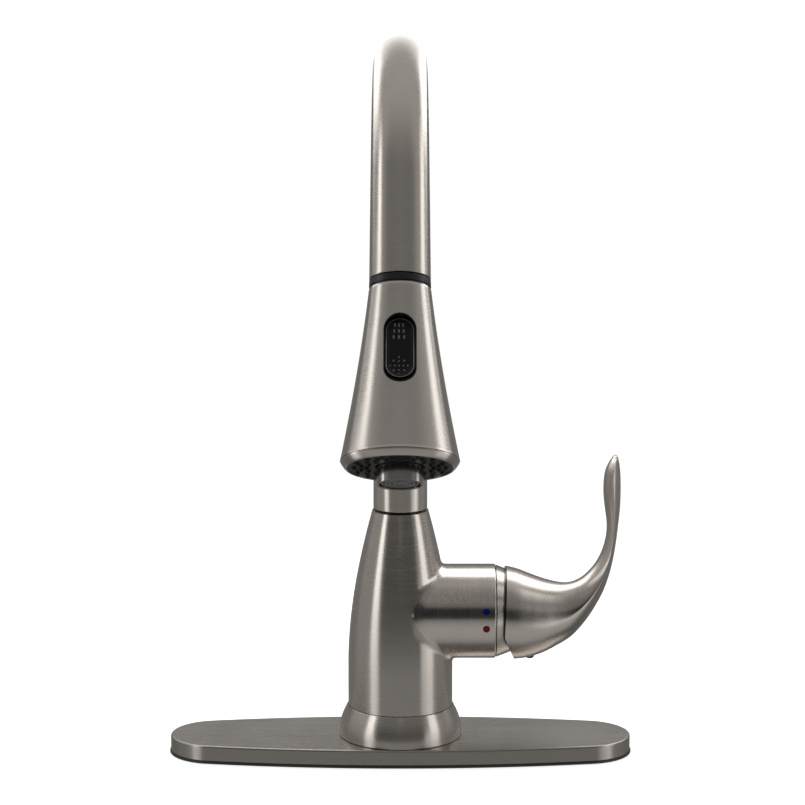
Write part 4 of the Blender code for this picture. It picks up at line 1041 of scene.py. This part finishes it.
def make_wand():
    outer = wand_skin(0)
    rim = bezier(outer[-1], (29.2, -92.0), (29.2, -92.05), (29.0, -92.1), 3)
    outline = [(15.0, -4.65)] + outer[1:] + rim[1:] + [(27.4, -92.0)]
    outline += list(reversed(wand_skin(2.0, 24)))[1:-1] + [(13.4, -4.65)]
    smooth = moved(turned("wand", outline, 224, 0), WAND)
    mesh = boolean(smooth.copy(), "DIFFERENCE", [into_button(8.05, 18.4, -6, 9)])
    keep_normals(mesh, smooth)
    show(mesh, "wand_cone", "wand", NICKEL, "brushed_nickel", "wand_shell", crease=0,
         even=False)
    collar = [(11.1, 24.0), (11.1, -0.3), (14.3, -0.3), (14.3, -0.75), (15.2, -0.75),
              (15.3, -4.05), (14.4, -4.05), (14.4, -4.5), (12.6, -4.5), (12.6, -14.0),
              (8.9, -14.0), (8.9, 24.0)]
    show(moved(turned("collar", collar, 160, 0.15), WAND), "wand_collar_ring", "wand", SATIN_BLACK,
         "black_plastic", "wand_collar")
    lip = [(28.98, -92.18)] + bezier((28.8, -92.8), (28.0, -94.0), (27.2, -95.3),
                                     (26.3, -95.8), 8)
    lip += [(25.7, -95.6), (25.9, -93.0), (24.6, -93.0), (24.6, -90.0), (26.2, -90.0),
            (26.2, -92.18)]
    show(moved(turned("lip", lip, 192, 0.15), WAND), "face_lip", "wand", NICKEL,
         "brushed_nickel", "face_ring")


# ---- spray face ----------------------------------------------------------------------
NOZZLE_RINGS = ((22.3, 0.0), (19.4, 0.5), (16.5, 0.0))
NOZZLES = 16


def nozzle_places():
    for radius, stagger in NOZZLE_RINGS:
        for index in range(NOZZLES):
            angle = 2 * pi * (index + stagger) / NOZZLES
            yield radius * cos(angle), radius * sin(angle)


def make_face():
    plate = turned("plate", [(12.1, -95.2), (12.1, -93.4), (25.6, -93.4), (25.6, -95.0),
                             (24.6, -95.2)], 160, 0.15)
    holes = merged("holes", [
        moved(turned("hole", [(0, -97), (1.5, -97), (1.5, -92), (0, -92)], 20, 0),
              shift(x, y, 0)) for x, y in nozzle_places()])
    mesh = boolean(plate, "DIFFERENCE", [holes])
    show(moved(mesh, WAND), "spray_disc", "wand", GREY, "grey_plastic", "spray_plate",
         even=False)
    nub = [(0, -94.6), (0.35, -94.6), (0.42, -96.35), (0.85, -96.4), (1.1, -95.9),
           (1.35, -92.2), (0, -92.2)]
    nubs = [moved(turned("nub", nub, 20, 0.12, 2), shift(x, y, 0)) for x, y in nozzle_places()]
    mat = turned("mat", [(12.1, -93.1), (24.2, -93.1), (24.2, -91.2), (12.1, -91.2)], 128, 0.2)
    show(moved(merged("nozzles", [mat] + nubs), WAND), "nozzle_field", "wand", RUBBER,
         "black_rubber", "nozzle_mat", even=False)
    tube = [(11.1, -84.0)] + bezier((11.15, -88.0), (11.2, -92.0), (11.4, -94.0),
                                    (11.4, -96.0), 6)
    tube += [(11.4, -103.9), (10.1, -103.9), (10.1, -84.0)]
    # The tube's darker nickel colour is painted shade.
    show(moved(turned("tube", tube, 160, 0.35), WAND), "aerator_tube", "wand", POLISHED_NICKEL_PAINTED_DARK,
         "brushed_nickel", "aerator_housing")
    face = -103.1
    screen = [(0, -95.0), (9.3, -95.0), (9.3, face)]
    for outer in (8.4, 6.5, 4.6, 2.7):
        screen += [(outer, face), (outer - 0.05, face + 1.8), (outer - 0.95, face + 1.8),
                   (outer - 1.0, face)]
    screen += [(0, face)]
    spokes = []
    for index in range(6):
        bar = block((0.6, -0.3, face + 0.5), (9.0, 0.3, face + 2.4))
        bar.transform(turn(2 * pi * index / 6, "Z"))
        spokes.append(bar)
    show(moved(merged("screen", [turned("screen", screen, 96, 0.08, 2)] + spokes), WAND),
         "aerator_screen", "wand", AERATOR_GREY, "grey_plastic", "aerator_insert", even=False)


# ---- rocker button -------------------------------------------------------------------
MARKS_X = -0.5


def make_button():
    outer = [(r + 0.12, z) for r, z in wand_skin(0)]
    smooth = moved(turned("bezel", outer + [(7.0, -91.9), (7.0, -4.8)], 256, 0), WAND)
    mesh = boolean(smooth.copy(), "INTERSECT", [into_button(7.75, 18.1, -6, 5.7)])
    mesh = boolean(mesh, "DIFFERENCE", [into_button(7.35, 17.3, -7, 4.9)])
    keep_normals(mesh, smooth)
    show(mesh, "button_frame", "wand", BLACK_GLOSS, "black_plastic", "button_bezel", crease=0,
         even=False)
    half_width, half_length = 7.1, 16.5
    front = 0.7 - 3.4
    levels = [(0.25, 1.4), (0.0, 1.1)]
    levels += [(0.0, front + 0.9), (0.12, front + 0.45), (0.42, front + 0.12),
               (0.85, front), (1.25, front + 0.08), (1.7, front + 0.42), (2.4, front + 0.62),
               (3.6, front + 0.72), (5.2, front + 0.76)]
    pad = slab("pad", stadium(half_width, half_length, 32), levels)
    pad.transform(UPRIGHT)
    outward(pad)
    show(moved(pad, ROCKER), "rocker_pad", "rocker", BLACK_GLOSS, "black_plastic",
         "rocker_button", crease=0)
    # A thin light-grey ring set just inside the rocker's edge is painted highlight for the light on its rounded
    # rim.
    def rim_row(inset, height):
        return [(x, height, z) for x, z in stadium(half_width, half_length, 32)(inset)]
    rim = skin("rim", [rim_row(0.22, front + 0.5), rim_row(0.30, front + 0.12),
                       rim_row(0.46, front - 0.02), rim_row(0.62, front + 0.06),
                       rim_row(0.66, front + 0.5)], closed=True)
    icons_and_rim_highlight = [rim]
    level = front + 0.66

    def bar(x, z, width, length, lean):
        shape = slab("bar", stadium(width / 2, length / 2, 6),
                     [(0.0, 0.14), (0.0, -0.08), (0.1, -0.14)])
        shape.transform(shift(x, level, z) @ turn(lean, "Y") @ UPRIGHT)
        outward(shape)
        icons_and_rim_highlight.append(shape)

    for row, (height, spread) in enumerate(((12.8, 1.95), (9.4, 2.3), (6.1, 2.6))):
        for side in (-1, 0, 1):
            bar(MARKS_X + side * spread, height, 0.75, 2.0, side * radians(4))
    centre = -9.7
    bar(MARKS_X, centre, 0.7, 0.8, 0)
    for wide, tall in ((2.05, 2.4), (4.25, 4.7)):
        for x, z in ((wide, 0), (-wide, 0), (0, tall), (0, -tall)):
            bar(MARKS_X + x, centre + z, 0.7, 0.8, 0)
    for side_x in (-1, 1):
        for side_z in (-1, 1):
            bar(MARKS_X + side_x * 2.6, centre + side_z * 2.7, 0.65, 1.1,
                side_x * side_z * radians(45))
    # The icons are real raised bars. Their lighter grey, and the rim ring's, is painted highlight.
    show(moved(merged("icons_and_rim_highlight", icons_and_rim_highlight), ROCKER), "pad_icons_and_rim_highlight", "rocker", ICON_AND_RIM_HIGHLIGHT_GREY,
         "black_plastic", "rocker_button", even=False)


# ---- what stays as the CAD made it ---------------------------------------------------
def finish_cad_nodes():
    slots = {row["node"]: row["material_slot"] for row in frame["record"]["subparts"]}
    for name, node in NODES.items():
        if node.hide_render:
            continue
        material = DARK_STEEL if name == "rocker_pin" else BY_SLOT[slots[name]]
        node.data.materials.clear()
        node.data.materials.append(material)


make_plate()
make_ring()
make_body()
make_marks()
make_bonnet()
make_handle()
make_spout()
make_hose()
make_wand()
make_face()
make_button()
finish_cad_nodes()
